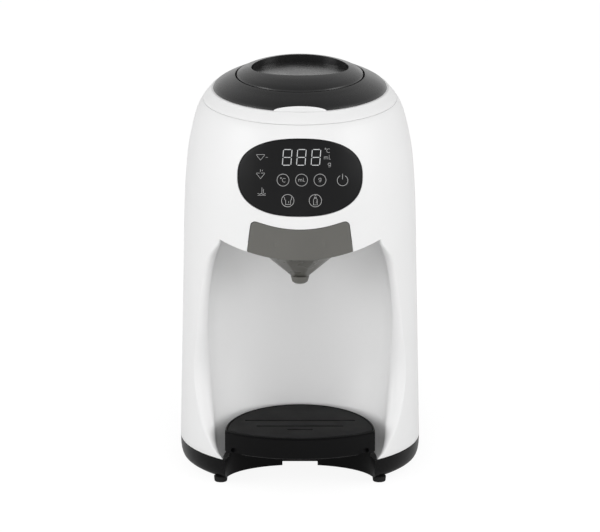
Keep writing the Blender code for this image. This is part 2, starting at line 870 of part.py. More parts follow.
def make_top_ring():
    """The white ring that the lid closes on, with the ears of the lid hinge behind."""
    ring = column_body("top_ring", ring_seam + gap, ring_top, 0.0, "white")
    lip_low = ring_top - wall / 2
    lip = rod("ring_lip", ring_lip_radius, (0, 0, lip_low), (0, 0, ring_lip_top), steps=lid_steps)
    ears = []
    ear_start = hinge_arm_half_width + hinge_slot_gap
    for side in (-1, 1):
        ears.append(rod(
            "ring_ear",
            hinge_barrel_radius,
            (side * ear_start, hinge_y, hinge_z),
            (side * (ear_start + hinge_ear_width), hinge_y, hinge_z),
            steps=hinge_barrel_steps,
        ))
    join(ring, lip, *ears)
    bore_low = ring_seam - overrun
    bore_high = ring_lip_top + overrun
    bore = rod("ring_bore", ring_bore, (0, 0, bore_low), (0, 0, bore_high), steps=lid_steps)
    slot = box(
        "hinge_slot",
        (-ear_start, ring_lip_radius + gap, hinge_z - hinge_barrel_radius - hinge_slot_gap),
        (ear_start, column_radius, ring_lip_top + overrun),
    )
    pin_hole = rod(
        "ring_pin_hole",
        hinge_bore_radius,
        (-column_radius / 2, hinge_y, hinge_z),
        (column_radius / 2, hinge_y, hinge_z),
        steps=hinge_pin_steps,
    )
    lip_relief = box(
        "ring_lip_relief",
        (-column_radius, hinge_y - ring_lip_relief, ring_top + gap / 3),
        (column_radius, column_radius, ring_lip_top + overrun),
    )
    cut(ring, bore, slot, pin_hole, lip_relief)


def lid_height(radius):
    """Height of the lid's outer face at a radius."""
    places = [1 - share for share in lid_radius_shares]
    return shoulder_top + lid_rise * curve_value(places, lid_rise_shares, 1 - radius / lid_radius)


def lid_profile():
    outer = [(0.0, shoulder_top + lid_rise)]
    for radius_share, rise_share in zip(reversed(lid_radius_shares), reversed(lid_rise_shares)):
        outer.append((lid_radius * radius_share, shoulder_top + lid_rise * rise_share))
    return outer + [(0.0, shoulder_top)]


def lid_hollow_profile():
    profile = [(0.0, shoulder_top + lid_rise - lid_shell)]
    for share in lid_hollow_shares:
        radius = lid_radius * share
        profile.append((radius, lid_height(radius) - lid_shell))
    profile.append((lid_bore, lid_height(lid_bore) - lid_shell))
    profile.append((lid_bore, shoulder_top - overrun))
    return profile + [(0.0, shoulder_top - overrun)]


def dish_body(name, grow, floor_drop, top):
    """The finger recess: an oval well whose floor falls from the front edge to the back."""
    half_width = lid_dish_half_width + grow
    half_depth = lid_dish_half_depth + grow
    outline = oval(half_width, half_depth, half_depth, 2.0, 2.0, lid_dish_steps)
    rim = lid_height(lid_dish_half_depth)
    bm = bmesh.new()
    lower = []
    upper = []
    for x, y in outline:
        share = (y / half_depth + 1) / 2
        floor = rim - lid_dish_front_step - (lid_dish_rear_step - lid_dish_front_step) * share
        side_drop = (lid_dish_rear_step - lid_dish_front_step) / 2 * (x / half_width) ** 2
        lower.append(bm.verts.new((x, y, floor - floor_drop - side_drop)))
        upper.append(bm.verts.new((x, y, top)))
    middle_floor = rim - (lid_dish_front_step + lid_dish_rear_step) / 2 - lid_dish_front_step - floor_drop
    middle = bm.verts.new((0, 0, middle_floor))
    for index in range(len(lower)):
        after = (index + 1) % len(lower)
        bm.faces.new((lower[index], lower[after], upper[after], upper[index]))
        bm.faces.new((lower[after], lower[index], middle))
    bm.faces.new(upper)
    return link(name, to_mesh(bm, name))


def make_lid():
    """The domed lid with its recess, thumb notch and hinge arm, its origin on the hinge."""
    hinge = (0.0, hinge_y, hinge_z)
    lid = turned("lid", lid_profile(), "charcoal", lid_steps)
    hollow = turned("lid_hollow", lid_hollow_profile(), None, lid_steps)
    well = dish_body("dish_well", lid_shell, lid_shell, shoulder_top + lid_rise + overrun)
    cut(hollow, well)
    dish = dish_body("dish", 0.0, 0.0, shoulder_top + lid_rise + overrun)
    notch = box(
        "thumb_notch",
        (-column_radius / 2, -column_radius, shoulder_top - overrun),
        (column_radius / 2, -lid_radius + lid_notch, shoulder_top + lid_rise),
    )
    arm = box(
        "lid_arm",
        (-hinge_arm_half_width, lid_bore + gap, hinge_z),
        (hinge_arm_half_width, hinge_y, lid_height(hinge_y - hinge_barrel_radius) + lid_shell / 2),
    )
    barrel = rod(
        "lid_barrel",
        hinge_barrel_radius,
        (-hinge_arm_half_width, hinge_y, hinge_z),
        (hinge_arm_half_width, hinge_y, hinge_z),
        steps=hinge_barrel_steps,
    )
    pin_hole = rod(
        "lid_pin_hole",
        hinge_bore_radius,
        (-column_radius / 2, hinge_y, hinge_z),
        (column_radius / 2, hinge_y, hinge_z),
        steps=hinge_pin_steps,
    )
    cut(lid, hollow, dish, notch)
    join(lid, arm, barrel)
    cut(lid, pin_hole)
    pin_reach = hinge_arm_half_width + hinge_slot_gap + hinge_ear_width
    rod(
        "lid_hinge_pin",
        hinge_pin_radius,
        (-pin_reach, hinge_y, hinge_z),
        (pin_reach, hinge_y, hinge_z),
        "steel",
        steps=hinge_pin_steps,
        axis=hinge,
    )


def make_lid_liner():
    """The plate inside the lid that seals the opening, with its seal in a groove."""
    top = ring_top
    groove_low = (liner_bottom + top) / 2 - seal_height / 2
    groove_high = groove_low + seal_height
    groove_radius = seal_radius - seal_depth
    liner_rib_radius = liner_radius - liner_rib_inset
    rib_inner = liner_rib_radius - liner_rib_width
    rib_top = lid_height(liner_rib_radius) - lid_shell - gap - lid_shell / 2
    turned(
        "lid_liner",
        [
            (liner_rib_radius, rib_top),
            (liner_rib_radius, top),
            (liner_radius, top - gap),
            (liner_radius, groove_high + gap),
            (groove_radius - gap, groove_high + gap),
            (groove_radius - gap, groove_low - gap),
            (liner_radius, groove_low - gap),
            (liner_radius, liner_bottom + gap),
            (liner_radius - liner_plate, liner_bottom),
            (0.0, liner_bottom),
            (0.0, liner_bottom + liner_plate),
            (rib_inner, liner_bottom + liner_plate),
            (rib_inner, rib_top),
        ],
        "grey",
        container_steps,
    )
    turned(
        "lid_seal",
        [
            (seal_radius - gap, groove_high),
            (seal_radius, (groove_low + groove_high) / 2),
            (seal_radius - gap, groove_low),
            (groove_radius, groove_low),
            (groove_radius, groove_high),
        ],
        "silicone",
        container_steps,
    )


def panel_outline(grow=0.0):
    points = []
    for index in range(panel_points):
        angle = 2 * math.pi * (index + 0.5) / panel_points
        x = (panel_half_width + grow) * power_curve(math.cos(angle), panel_power)
        z = panel_z + (panel_half_height + grow) * power_curve(math.sin(angle), panel_power)
        points.append((x, z))
    return points


def make_panel():
    """The touch window flush in the head, and the board with its digits behind it."""
    lens = prism("panel_lens", panel_outline(), -overall_depth / 2, -column_radius / 2, "panel", along="Y")
    combine(lens, column_body("lens_front", base_top, ring_seam + overrun), "INTERSECT")
    cut(lens, column_body("lens_back", base_top, ring_seam + 2 * overrun, panel_thickness))
    box(
        "display_board",
        (-board_half_width, -board_y, board_low),
        (board_half_width, -board_y + board_thickness, board_high),
        "board",
    )
    box(
        "digit_module",
        (-digit_half_width, -board_y - gap - digit_depth, digit_high - digit_height),
        (digit_half_width, -board_y - gap, digit_high),
        "black",
    )


def spout_rear():
    """How far behind the axis the drawer frame reaches."""
    return drawer_half_width - spout_y


def frame_outline(half_width):
    """The drawer frame in plan: straight sides from the front plate, and a half circle round the funnel."""
    points = [(-half_width, -spout_y), (-half_width, -drawer_front_y()), (half_width, -drawer_front_y())]
    for step in range(drawer_frame_steps):
        angle = math.pi * step / drawer_frame_steps
        points.append((half_width * math.cos(angle), -spout_y + half_width * math.sin(angle)))
    return points


def drawer_front_y():
    """The frame runs forward into the middle of the front plate at its sides."""
    skin = column_front(drawer_frame_high)
    return math.sqrt(skin**2 - drawer_half_width**2) - plate_thickness / 2


def make_funnel_drawer():
    """The drawer front with its frame, and the funnel that hangs in it."""
    front = -overall_depth / 2
    holder = prism("funnel_holder", plate_outline(), front, -column_radius / 2, "taupe", along="Y")
    combine(holder, column_body("plate_front", base_top, ring_seam + overrun), "INTERSECT")
    cut(holder, column_body("plate_back", base_top, ring_seam + 2 * overrun, plate_thickness))
    frame = prism("drawer_frame", frame_outline(drawer_half_width), drawer_frame_low, drawer_frame_high)
    front_bar = box(
        "drawer_front_bar",
        (-drawer_half_width / 2, -column_front(drawer_frame_high) + plate_thickness / 2, drawer_frame_low),
        (drawer_half_width / 2, -drawer_front_y() + plate_thickness, drawer_frame_high),
    )
    bore = rod(
        "frame_bore",
        funnel_radius + funnel_bore_gap,
        (0, -spout_y, drawer_frame_low - overrun),
        (0, -spout_y, drawer_frame_high + overrun),
        steps=funnel_steps,
    )
    join(holder, frame, front_bar)
    cut(holder, bore)
    flange_low = drawer_frame_high + gap
    turned(
        "funnel",
        [
            (funnel_radius, funnel_top),
            (funnel_radius, flange_low + funnel_flange),
            (funnel_flange_radius, flange_low + funnel_flange),
            (funnel_flange_radius, flange_low),
            (funnel_radius, flange_low),
            (funnel_radius, funnel_shoulder_z),
            (funnel_throat_radius, funnel_throat_z),
            (funnel_spout_radius, funnel_spout_z + funnel_spout_edge),
            (funnel_spout_mouth, funnel_spout_z),
            (funnel_spout_mouth - funnel_spout_wall, funnel_spout_z),
            (funnel_spout_radius - funnel_wall, funnel_throat_z),
            (funnel_radius - funnel_wall, funnel_shoulder_z + funnel_wall / 2),
            (funnel_radius - funnel_wall, funnel_top),
        ],
        "smoke",
        funnel_steps,
        (0.0, -spout_y),
    )


def make_rails():
    """The two grooved rails under the deck that the drawer slides in, and its presence switch."""
    rail_reach = drawer_half_width + rail_web
    rail_front_y = math.sqrt((column_front(deck_low) - wall)**2 - rail_reach**2) - rail_front_gap
    for side, name in ((-1, "left"), (1, "right")):
        inner = side * (drawer_half_width - rail_bite)
        outer = side * rail_reach
        rail = box(
            "funnel_rail_" + name,
            (min(inner, outer), -rail_front_y, drawer_frame_low - rail_drop),
            (max(inner, outer), 0.0, deck_low - gap),
            "grey",
        )
        groove_end = side * (drawer_half_width + rail_groove)
        start = inner - side * rail_groove
        groove = box(
            "rail_groove",
            (min(start, groove_end), -rail_front_y - overrun, drawer_frame_low - rail_groove),
            (max(start, groove_end), overrun, drawer_frame_high + rail_groove),
        )
        cut(rail, groove)
    rear = spout_rear() + drawer_gap
    box(
        "funnel_sensor",
        (-sensor_size, rear, drawer_frame_low - sensor_size / 4),
        (sensor_size, rear + sensor_size, deck_low - gap),
        "black",
    )


def make_deck():
    """The platform across the head, with the ring that the container stands on."""
    deck = column_body("deck", deck_low, deck_high, wall + 2 * gap, "grey")
    corners = []
    for side in (-1, 1):
        inner = side * deck_notch_x
        outer = side * (column_radius + overrun)
        corners.append(box(
            "deck_corner",
            (min(inner, outer), deck_notch_y, deck_low - overrun),
            (max(inner, outer), overall_depth, deck_high + overrun / 4),
        ))
    ring = turned(
        "deck_ring",
        [
            (deck_ring_radius, deck_ring_top),
            (deck_ring_radius, deck_high - gap),
            (deck_ring_radius - deck_ring_wall, deck_high - gap),
            (deck_ring_radius - deck_ring_wall, deck_ring_top),
        ],
        None,
        container_steps,
    )
    cut(deck, *corners)
    cut(deck, half_space("deck_rear_edge", deck_rear_y, overall_depth))
    join(deck, ring)
    below = deck_low - overrun
    above = deck_high + overrun / 4
    chute_hole = rod(
        "deck_chute_hole",
        chute_radius + gap,
        (0, -spout_y, below),
        (0, -spout_y, above),
        steps=24,
    )
    nozzle_hole = rod(
        "deck_nozzle_hole",
        nozzle_radius + gap,
        (-nozzle_x, -spout_y, below),
        (-nozzle_x, -spout_y, above),
        steps=16,
    )
    shaft_hole = rod(
        "deck_shaft_hole", motor_neck_radius + gap, (0, pinion_y, below), (0, pinion_y, above), steps=16
    )
    cut(deck, chute_hole, nozzle_hole, shaft_hole)


def make_container():
    """The powder container with its outlet, its lid, and the fixed cover over the outlet pocket."""
    inner = container_inner_radius
    container = turned(
        "powder_container",
        [
            (container_flange_radius, container_top),
            (container_flange_radius, container_top - container_flange),
            (container_radius, container_top - container_flange - container_wall),
            (container_radius, container_low),
            (hub_radius + hub_hole_gap, container_low),
            (hub_radius + hub_hole_gap, container_low + container_floor),
            (inner, container_low + container_floor),
            (inner, container_top),
        ],
        "clear",
        container_steps,
    )
    outlet = rod(
        "container_outlet",
        outlet_radius,
        (0, -spout_y, container_low - overrun / 4),
        (0, -spout_y, container_low + container_floor + overrun / 4),
        steps=24,
    )
    cut(container, outlet)
    lid_low = container_top + gap
    spigot = inner - gap
    turned(
        "container_lid",
        [
            (0.0, container_lid_high + knob_height),
            (knob_radius, container_lid_high + knob_height),
            (knob_radius - gap, container_lid_high),
            (container_flange_radius - gap, container_lid_high),
            (container_flange_radius, lid_low),
            (spigot, lid_low),
            (spigot, lid_low - container_lid_overlap),
            (spigot - container_wall, lid_low - container_lid_overlap),
            (spigot - container_wall, lid_low + gap),
            (0.0, lid_low + gap),
        ],
        "grey",
        container_steps,
    )
    cover_radius = inner - gap
    hub_clear = hub_radius + hub_hole_gap
    sector = []
    for step in range(cover_steps + 1):
        angle = -math.pi / 2 - cover_half_angle + 2 * cover_half_angle * step / cover_steps
        sector.append((cover_radius * math.cos(angle), cover_radius * math.sin(angle)))
    for step in range(cover_steps + 1):
        angle = -math.pi / 2 + cover_half_angle - 2 * cover_half_angle * step / cover_steps
        sector.append((hub_clear * math.cos(angle), hub_clear * math.sin(angle)))
    prism("dosing_cover", sector, wheel_high + gap, cover_high, "grey")


def make_rotor():
    """The dosing wheel with its pockets and square tang, and the stirrer on top of it."""
    wheel_radius = container_inner_radius - wheel_gap
    wheel = turned(
        "dosing_wheel",
        [
            (0.0, cover_high),
            (hub_radius, cover_high),
            (hub_radius, wheel_high),
            (wheel_radius, wheel_high),
            (wheel_radius, wheel_low),
            (hub_radius, wheel_low),
            (hub_radius, gear_high + gap),
            (0.0, gear_high + gap),
        ],
        "taupe",
        container_steps,
    )
    for index in range(pocket_count):
        angle = -math.pi / 2 + 2 * math.pi * index / pocket_count
        x = spout_y * math.cos(angle)
        y = spout_y * math.sin(angle)
        pocket = rod(
            "wheel_pocket",
            pocket_radius,
            (x, y, wheel_low - overrun / 4),
            (x, y, wheel_high + overrun / 4),
            steps=16,
        )
        cut(wheel, pocket)
    tang = box(
        "wheel_tang",
        (-tang_half, -tang_half, gear_low + gap),
        (tang_half, tang_half, wheel_low),
    )
    join(wheel, tang)
    stirrer = rod(
        "stirrer",
        hub_radius - stirrer_hub_inset,
        (0, 0, cover_high + gap),
        (0, 0, stirrer_top),
        "taupe",
        steps=18,
    )
    for index in range(stirrer_arm_count):
        for low, turn in ((cover_high + stirrer_arm_lift, 0.0), (stirrer_top - stirrer_arm_drop, 0.5)):
            angle = 2 * math.pi * (index + turn) / stirrer_arm_count
            arm = box(
                "stirrer_arm",
                (0, -stirrer_arm_width / 2, low),
                (container_inner_radius - stirrer_arm_gap, stirrer_arm_width / 2, low + stirrer_arm_height),
            )
            arm.rotation_euler = (0, 0, angle)
            join(stirrer, arm)


def gear_outline(teeth, turn):
    """A spur gear's outline, with straight-sided teeth cut thin enough to run with play."""
    pitch_radius = gear_module * teeth / 2
    tip = pitch_radius + gear_module * tooth_addendum_share
    root = pitch_radius - gear_module * tooth_dedendum_share
    pitch_angle = 2 * math.pi / teeth
    points = []
    for index in range(teeth):
        middle = turn + index * pitch_angle
        half_root = pitch_angle * tooth_root_share / 2
        half_tip = pitch_angle * tooth_tip_share / 2
        places = ((root, -half_root), (tip, -half_tip), (tip, half_tip), (root, half_root))
        for radius, offset in places:
            points.append((radius * math.cos(middle + offset), radius * math.sin(middle + offset)))
    return points


def make_drive():
    """The drive gear under the container, the pinion that meshes with it, and the motor below the deck."""
    gear = prism("drive_gear", gear_outline(gear_teeth, math.pi / 2), gear_low, gear_high, "grey")
    tang_hole = box(
        "gear_tang_hole",
        (-tang_half - gap, -tang_half - gap, gear_low - overrun),
        (tang_half + gap, tang_half + gap, gear_high + overrun),
    )
    cut(gear, tang_hole)
    half_tooth = math.pi / pinion_teeth
    outline = [
        (x, y + pinion_y) for x, y in gear_outline(pinion_teeth, -math.pi / 2 + half_tooth)
    ]
    pinion = prism("motor_pinion", outline, gear_low, gear_high, "steel", axis=(0.0, pinion_y, 0.0))
    bore = rod(
        "pinion_bore",
        motor_shaft_radius + gap,
        (0, pinion_y, gear_low - overrun),
        (0, pinion_y, gear_high + overrun),
        steps=14,
    )
    cut(pinion, bore)
    motor_top = deck_low - gap
    motor = rod(
        "gear_motor",
        motor_radius,
        (0, pinion_y, motor_top - motor_height),
        (0, pinion_y, motor_top),
        "steel",
        steps=24,
    )
    neck = rod(
        "motor_neck",
        motor_neck_radius,
        (0, pinion_y, motor_top - motor_neck),
        (0, pinion_y, motor_top + motor_neck),
        steps=16,
    )
    shaft = rod(
        "motor_shaft",
        motor_shaft_radius,
        (0, pinion_y, motor_top),
        (0, pinion_y, motor_shaft_top),
        steps=12,
    )
    join(motor, neck, shaft)


def make_chute_and_nozzle():
    """The powder chute from container to funnel, and the hot water nozzle beside it."""
    turned(
        "powder_chute",
        [
            (chute_flange_radius, deck_high + gap + chute_flange),
            (chute_flange_radius, deck_high + gap),
            (chute_radius, deck_high + gap),
            (chute_radius, chute_low),
            (chute_bore, chute_low),
            (chute_bore, container_low - gap),
            (chute_radius, container_low - gap),
            (chute_radius, deck_high + gap + chute_flange),
        ],
        "grey",
        24,
        (0.0, -spout_y),
    )
    nozzle = rod(
        "water_nozzle",
        nozzle_radius,
        (-nozzle_x, -spout_y, chute_low),
        (-nozzle_x, -spout_y, nozzle_top),
        "grey",
        steps=16,
    )
    barb_z = nozzle_top - nozzle_radius
    barb = rod(
        "nozzle_barb",
        hose_nipple_radius,
        (-nozzle_x, -spout_y, barb_z),
        (-nozzle_x - nozzle_radius - nozzle_barb, -spout_y, barb_z),
        steps=10,
    )
    flange = rod(
        "nozzle_flange",
        nozzle_radius + chute_flange,
        (-nozzle_x, -spout_y, deck_high + gap),
        (-nozzle_x, -spout_y, deck_high + gap + chute_flange),
        steps=16,
    )
    bore = rod(
        "nozzle_bore",
        nozzle_bore,
        (-nozzle_x, -spout_y, chute_low - overrun),
        (-nozzle_x, -spout_y, barb_z),
        steps=10,
    )
    join(nozzle, flange, barb)
    cut(nozzle, bore)


def base_plan(height, inset=0.0):
    share = (height - base_bottom) / (base_top - base_bottom)
    tuck = base_tuck * curve_value(base_tuck_height_shares, base_tuck_shares, share) + inset
    return oval(
        column_radius - tuck,
        column_radius - tuck,
        tank_reach - tuck,
        2.0,
        base_power,
        column_segments,
    )


def base_body(name, low, high, inset=0.0, finish=None):
    levels = [base_bottom + share * (base_top - base_bottom) for share in base_tuck_height_shares]
    heights = [low] + [level for level in levels if low + gap < level < high - gap] + [high]
    return loft(name, [base_plan(height, inset) for height in heights], heights, finish)


def pedestal_outline(inset):
    """The raised floor under the tray: a half oval inside the bay wall, run forward past the scoop."""
    depth = scoop_centre_y - pedestal_rear_y - inset
    half_width = pedestal_half_width - inset
    points = [(-half_width, -column_radius), (half_width, -column_radius)]
    for step in range(pedestal_steps + 1):
        angle = math.pi * step / pedestal_steps
        points.append((half_width * math.cos(angle), -scoop_centre_y + depth * math.sin(angle)))
    return points


def scoop_outline(grow):
    """What is taken out of the base's front: half an oval between the legs, with a notch behind it."""
    front = -column_radius - overrun
    half_width = leg_inner_x + grow
    notch_half_width = scoop_notch_half_width + grow
    points = [(-half_width, front), (half_width, front)]
    for step in range(scoop_points + 1):
        angle = math.pi * step / scoop_points
        x = half_width * math.cos(angle)
        y = -scoop_centre_y + (scoop_depth + grow) * math.sin(angle)
        if abs(x) > notch_half_width:
            points.append((x, y))
        elif abs(points[-1][0]) > notch_half_width:
            rise = math.sqrt(1 - (notch_half_width / half_width) ** 2)
            shoulder_y = -scoop_centre_y + (scoop_depth + grow) * rise
            points.append((notch_half_width, shoulder_y))
            points.append((notch_half_width, -scoop_notch_y + grow))
            points.append((-notch_half_width, -scoop_notch_y + grow))
            points.append((-notch_half_width, shoulder_y))
    return points


def screw_places():
    return [
        (-screw_front_x, -screw_front_y),
        (screw_front_x, -screw_front_y),
        (-screw_rear_x, screw_rear_y),
        (screw_rear_x, screw_rear_y),
    ]


def make_base():
    """The black base pan with its legs, tray pedestal and screw bosses, its feet and its screws."""
    pan = base_body("base_pan", base_bottom, base_top, 0.0, "black")
    floor_top = base_floor_top
    hollow = base_body("pan_hollow", floor_top, base_top + overrun, wall)
    cut(hollow, bay_body("pan_bay_zone", base_bottom - overrun, base_top + 2 * overrun, wall))
    pedestal = prism("pedestal", pedestal_outline(0.0), floor_top, pedestal_top)
    under = prism("pedestal_under", pedestal_outline(wall), floor_top + gap, pedestal_top - wall)
    passage = box(
        "pedestal_passage",
        (-scoop_notch_half_width, -pedestal_rear_y - wall - overrun, floor_top + gap),
        (scoop_notch_half_width, bay_rear + overrun, base_top - wall),
    )
    wall_behind_scoop = prism("scoop_wall", scoop_outline(wall), floor_top - gap, pedestal_top - wall / 2)
    scoop = prism("scoop", scoop_outline(0.0), base_bottom - overrun, pedestal_top + overrun)
    cut(pan, hollow)
    join(pan, pedestal)
    cut(under, wall_behind_scoop)
    cut(pan, under, passage, scoop)
    for x, y in screw_places():
        boss_low = base_bottom + gap
        boss = rod("screw_boss", screw_boss_radius, (x, y, boss_low), (x, y, screw_boss_top), steps=12)
        join(pan, boss)
    for index, (x, y) in enumerate(screw_places()):
        hole = rod(
            "screw_hole",
            screw_radius + screw_hole_gap,
            (x, y, base_bottom - overrun),
            (x, y, base_top + overrun),
            steps=8,
        )
        head_hole = rod(
            "screw_head_hole",
            screw_head_radius + screw_hole_gap,
            (x, y, base_bottom - overrun),
            (x, y, base_bottom + screw_head + gap),
            steps=12,
        )
        cut(pan, hole, head_hole)
        screw = rod(
            "base_screw_" + str(index + 1),
            screw_radius,
            (x, y, base_bottom + screw_head / 2),
            (x, y, screw_boss_top - gap),
            "steel",
            steps=8,
        )
        head = rod(
            "screw_head",
            screw_head_radius,
            (x, y, base_bottom + gap / 2),
            (x, y, base_bottom + screw_head),
            steps=12,
        )
        join(screw, head)
    feet = {
        "foot_front_left": (-foot_front_x, -foot_front_y),
        "foot_front_right": (foot_front_x, -foot_front_y),
        "foot_rear_left": (-foot_rear_x, foot_rear_y),
        "foot_rear_right": (foot_rear_x, foot_rear_y),
    }
    foot_top_radius = foot_radius + gap
    for name, (x, y) in feet.items():
        rod(name, foot_radius, (x, y, 0), (x, y, foot_height), "rubber", 18, end_radius=foot_top_radius)


def tray_outline(inset):
    """The tray in plan: an oval back, and a front that follows the column's skin."""
    half_width = tray_half_width - inset
    front_radius = column_radius - tray_front_inset - inset
    corner_angle = math.asin(half_width / front_radius)
    points = []
    for step in range(tray_points):
        angle = -math.pi / 2 - corner_angle + 2 * corner_angle * step / tray_points
        points.append((front_radius * math.cos(angle), front_radius * math.sin(angle)))
    corner_y = -front_radius * math.cos(corner_angle)
    for step in range(tray_points + 1):
        angle = math.pi * step / tray_points
        y = corner_y + (-tray_rear_y - inset - corner_y) * math.sin(angle)
        points.append((half_width * math.cos(angle), y))
    return points[:-1]


def make_tray():
    """The drip tray and the slotted plate laid in it."""
    heights = [tray_low, tray_low + tray_edge, tray_top - tray_edge / 4, tray_top]
    insets = [tray_edge, 0.0, 0.0, tray_edge / 4]
    tray = loft("drip_tray", [tray_outline(inset) for inset in insets], heights, "black")
    seat = prism("tray_seat", tray_outline(tray_rim), tray_top - tray_plate - tray_seam, tray_top + overrun)
    bowl = prism("tray_bowl", tray_outline(tray_wall), tray_low + tray_floor, tray_top)
    cut(tray, seat, bowl)
    inset = tray_rim + tray_seam
    plate = prism("tray_plate", tray_outline(inset), tray_top - tray_plate, tray_top - gap / 3, "black")
    for place_share, length_share in zip(slot_place_shares, slot_length_shares):
        place = column_radius * place_share
        half_length = tray_half_width * length_share
        slot = box(
            "tray_slot",
            (-half_length, -place - slot_half_width, tray_low),
            (half_length, -place + slot_half_width, tray_top + overrun),
        )
        cut(plate, slot)


def tank_plan(inset=0.0):
    return oval(
        tank_half_width - inset,
        tank_mid_y - tank_front_y - inset,
        tank_rear_y - tank_mid_y - inset,
        tank_front_power,
        tank_rear_power,
        tank_segments,
        tank_mid_y,
    )


def make_tank_deck():
    """What the tank stands on behind the column, with the hole for the coupler."""
    deck = base_body("tank_deck", base_top + gap, tank_deck_top, 0.0, "white")
    cut(deck, half_space("deck_front_edge", -overall_depth, dock_y + gap))
    hole = rod(
        "deck_coupler_hole",
        coupler_radius + gap,
        (0, tank_mid_y, base_bottom),
        (0, tank_mid_y, tank_deck_top + overrun),
        steps=28,
    )
    cut(deck, hole)


def make_coupler():
    """The socket that the tank's outlet drops into, with a pin that lifts the valve, and its seal."""
    floor = base_floor_top + gap
    coupler = turned(
        "tank_coupler",
        [
            (coupler_radius, tank_deck_top),
            (coupler_radius, floor),
            (0.0, floor),
            (0.0, coupler_pin_top),
            (coupler_pin_radius, coupler_pin_top),
            (coupler_pin_radius, coupler_floor),
            (coupler_bore, coupler_floor),
            (coupler_bore, tank_deck_top),
        ],
        "grey",
        28,
    )
    coupler.location = (0, tank_mid_y, 0)
    nipple = rod(
        "coupler_nipple",
        coupler_nipple_radius,
        (0, tank_mid_y - coupler_radius + wall / 4, coupler_nipple_z),
        (0, tank_mid_y - coupler_radius - coupler_nipple, coupler_nipple_z),
        steps=10,
    )
    join(coupler, nipple)
    seal_inner = port_radius + port_wall + gap
    seal_low = coupler_floor + gap
    seal = turned(
        "coupler_seal",
        [
            (coupler_bore - gap, tank_low - port_drop - gap),
            (coupler_bore - gap, seal_low),
            (seal_inner - port_wall, seal_low),
            (seal_inner - port_wall, tank_low - port_drop - gap),
        ],
        "silicone",
        28,
    )
    seal.location = (0, tank_mid_y, 0)


def make_tank():
    """The water tank with its outlet, valve bridge, float guide and hinge ears."""
    tank = loft("water_tank", [tank_plan(), tank_plan()], [tank_low, tank_top], "tank")
    inner_low = tank_low + tank_wall
    inside = tank_plan(tank_wall)
    hollow = loft("tank_hollow", [inside, inside], [inner_low, tank_top + overrun])
    cut(tank, hollow)
    port = rod(
        "tank_port",
        port_radius + port_wall,
        (0, tank_mid_y, tank_low - port_drop),
        (0, tank_mid_y, inner_low - gap),
        steps=24,
    )
    port_hole = rod(
        "tank_port_hole",
        port_radius,
        (0, tank_mid_y, tank_low - port_drop - overrun),
        (0, tank_mid_y, inner_low + overrun / 4),
        steps=24,
    )
    join(tank, port)
    cut(tank, port_hole)
    for side in (-1, 1):
        inner = side * bridge_half_width
        outer = side * (bridge_half_width + bridge_bar)
        post = box(
            "bridge_post",
            (min(inner, outer), tank_mid_y - bridge_bar, inner_low - tank_wall / 2),
            (max(inner, outer), tank_mid_y + bridge_bar, bridge_z + bridge_bar),
        )
        join(tank, post)
    bridge = box(
        "bridge_bar",
        (-bridge_half_width - bridge_bar / 2, tank_mid_y - bridge_bar / 2, bridge_z),
        (bridge_half_width + bridge_bar / 2, tank_mid_y + bridge_bar / 2, bridge_z + bridge_bar / 2),
    )
    join(tank, bridge)
    front = tank_front_y + tank_wall / 2
    guide_back = tank_front_y + tank_wall + float_depth + 2 * gap
    for side in (-1, 1):
        inner = -float_x + side * (float_half_width + gap)
        outer = inner + side * guide_bar
        join(tank, box(
            "float_guide",
            (min(inner, outer), front, inner_low - tank_wall / 2),
            (max(inner, outer), guide_back, guide_top),
        ))
    join(tank, box(
        "float_stop",
        (-float_x - float_half_width - guide_bar, front, float_low - gap - guide_bar),
        (-float_x + float_half_width + guide_bar, guide_back - guide_bar, float_low - gap),
    ))
    box(
        "tank_float",
        (-float_x - float_half_width, tank_front_y + tank_wall + gap, float_low),
        (-float_x + float_half_width, tank_front_y + tank_wall + gap + float_depth, float_low + float_height),
        "white",
    )
    hinge_line = tank_hinge_line
    ear_low = tank_top - tank_ear_drop
    for side in (-1, 1):
        start = side * tank_ear_inner_x
        end = side * tank_ear_outer_x
        foot = box(
            "tank_ear_foot",
            (min(start, end), tank_rear_y - tank_wall / 2, ear_low),
            (max(start, end), hinge_line + tank_hinge_radius / 2, tank_top - gap),
        )
        post = box(
            "tank_ear_post",
            (min(start, end) + gap / 3, hinge_line - tank_hinge_radius + gap, ear_low + tank_ear_bite),
            (max(start, end) - gap / 3, hinge_line + tank_hinge_radius - gap, tank_hinge_z),
        )
        ear = rod(
            "tank_ear",
            tank_hinge_radius,
            (start, hinge_line, tank_hinge_z),
            (end, hinge_line, tank_hinge_z),
            steps=14,
        )
        join(foot, post, ear)
        join(tank, foot)
    pin_hole = rod(
        "tank_pin_hole",
        tank_hinge_bore_radius,
        (-column_radius / 2, hinge_line, tank_hinge_z),
        (column_radius / 2, hinge_line, tank_hinge_z),
        steps=10,
    )
    cut(tank, pin_hole)


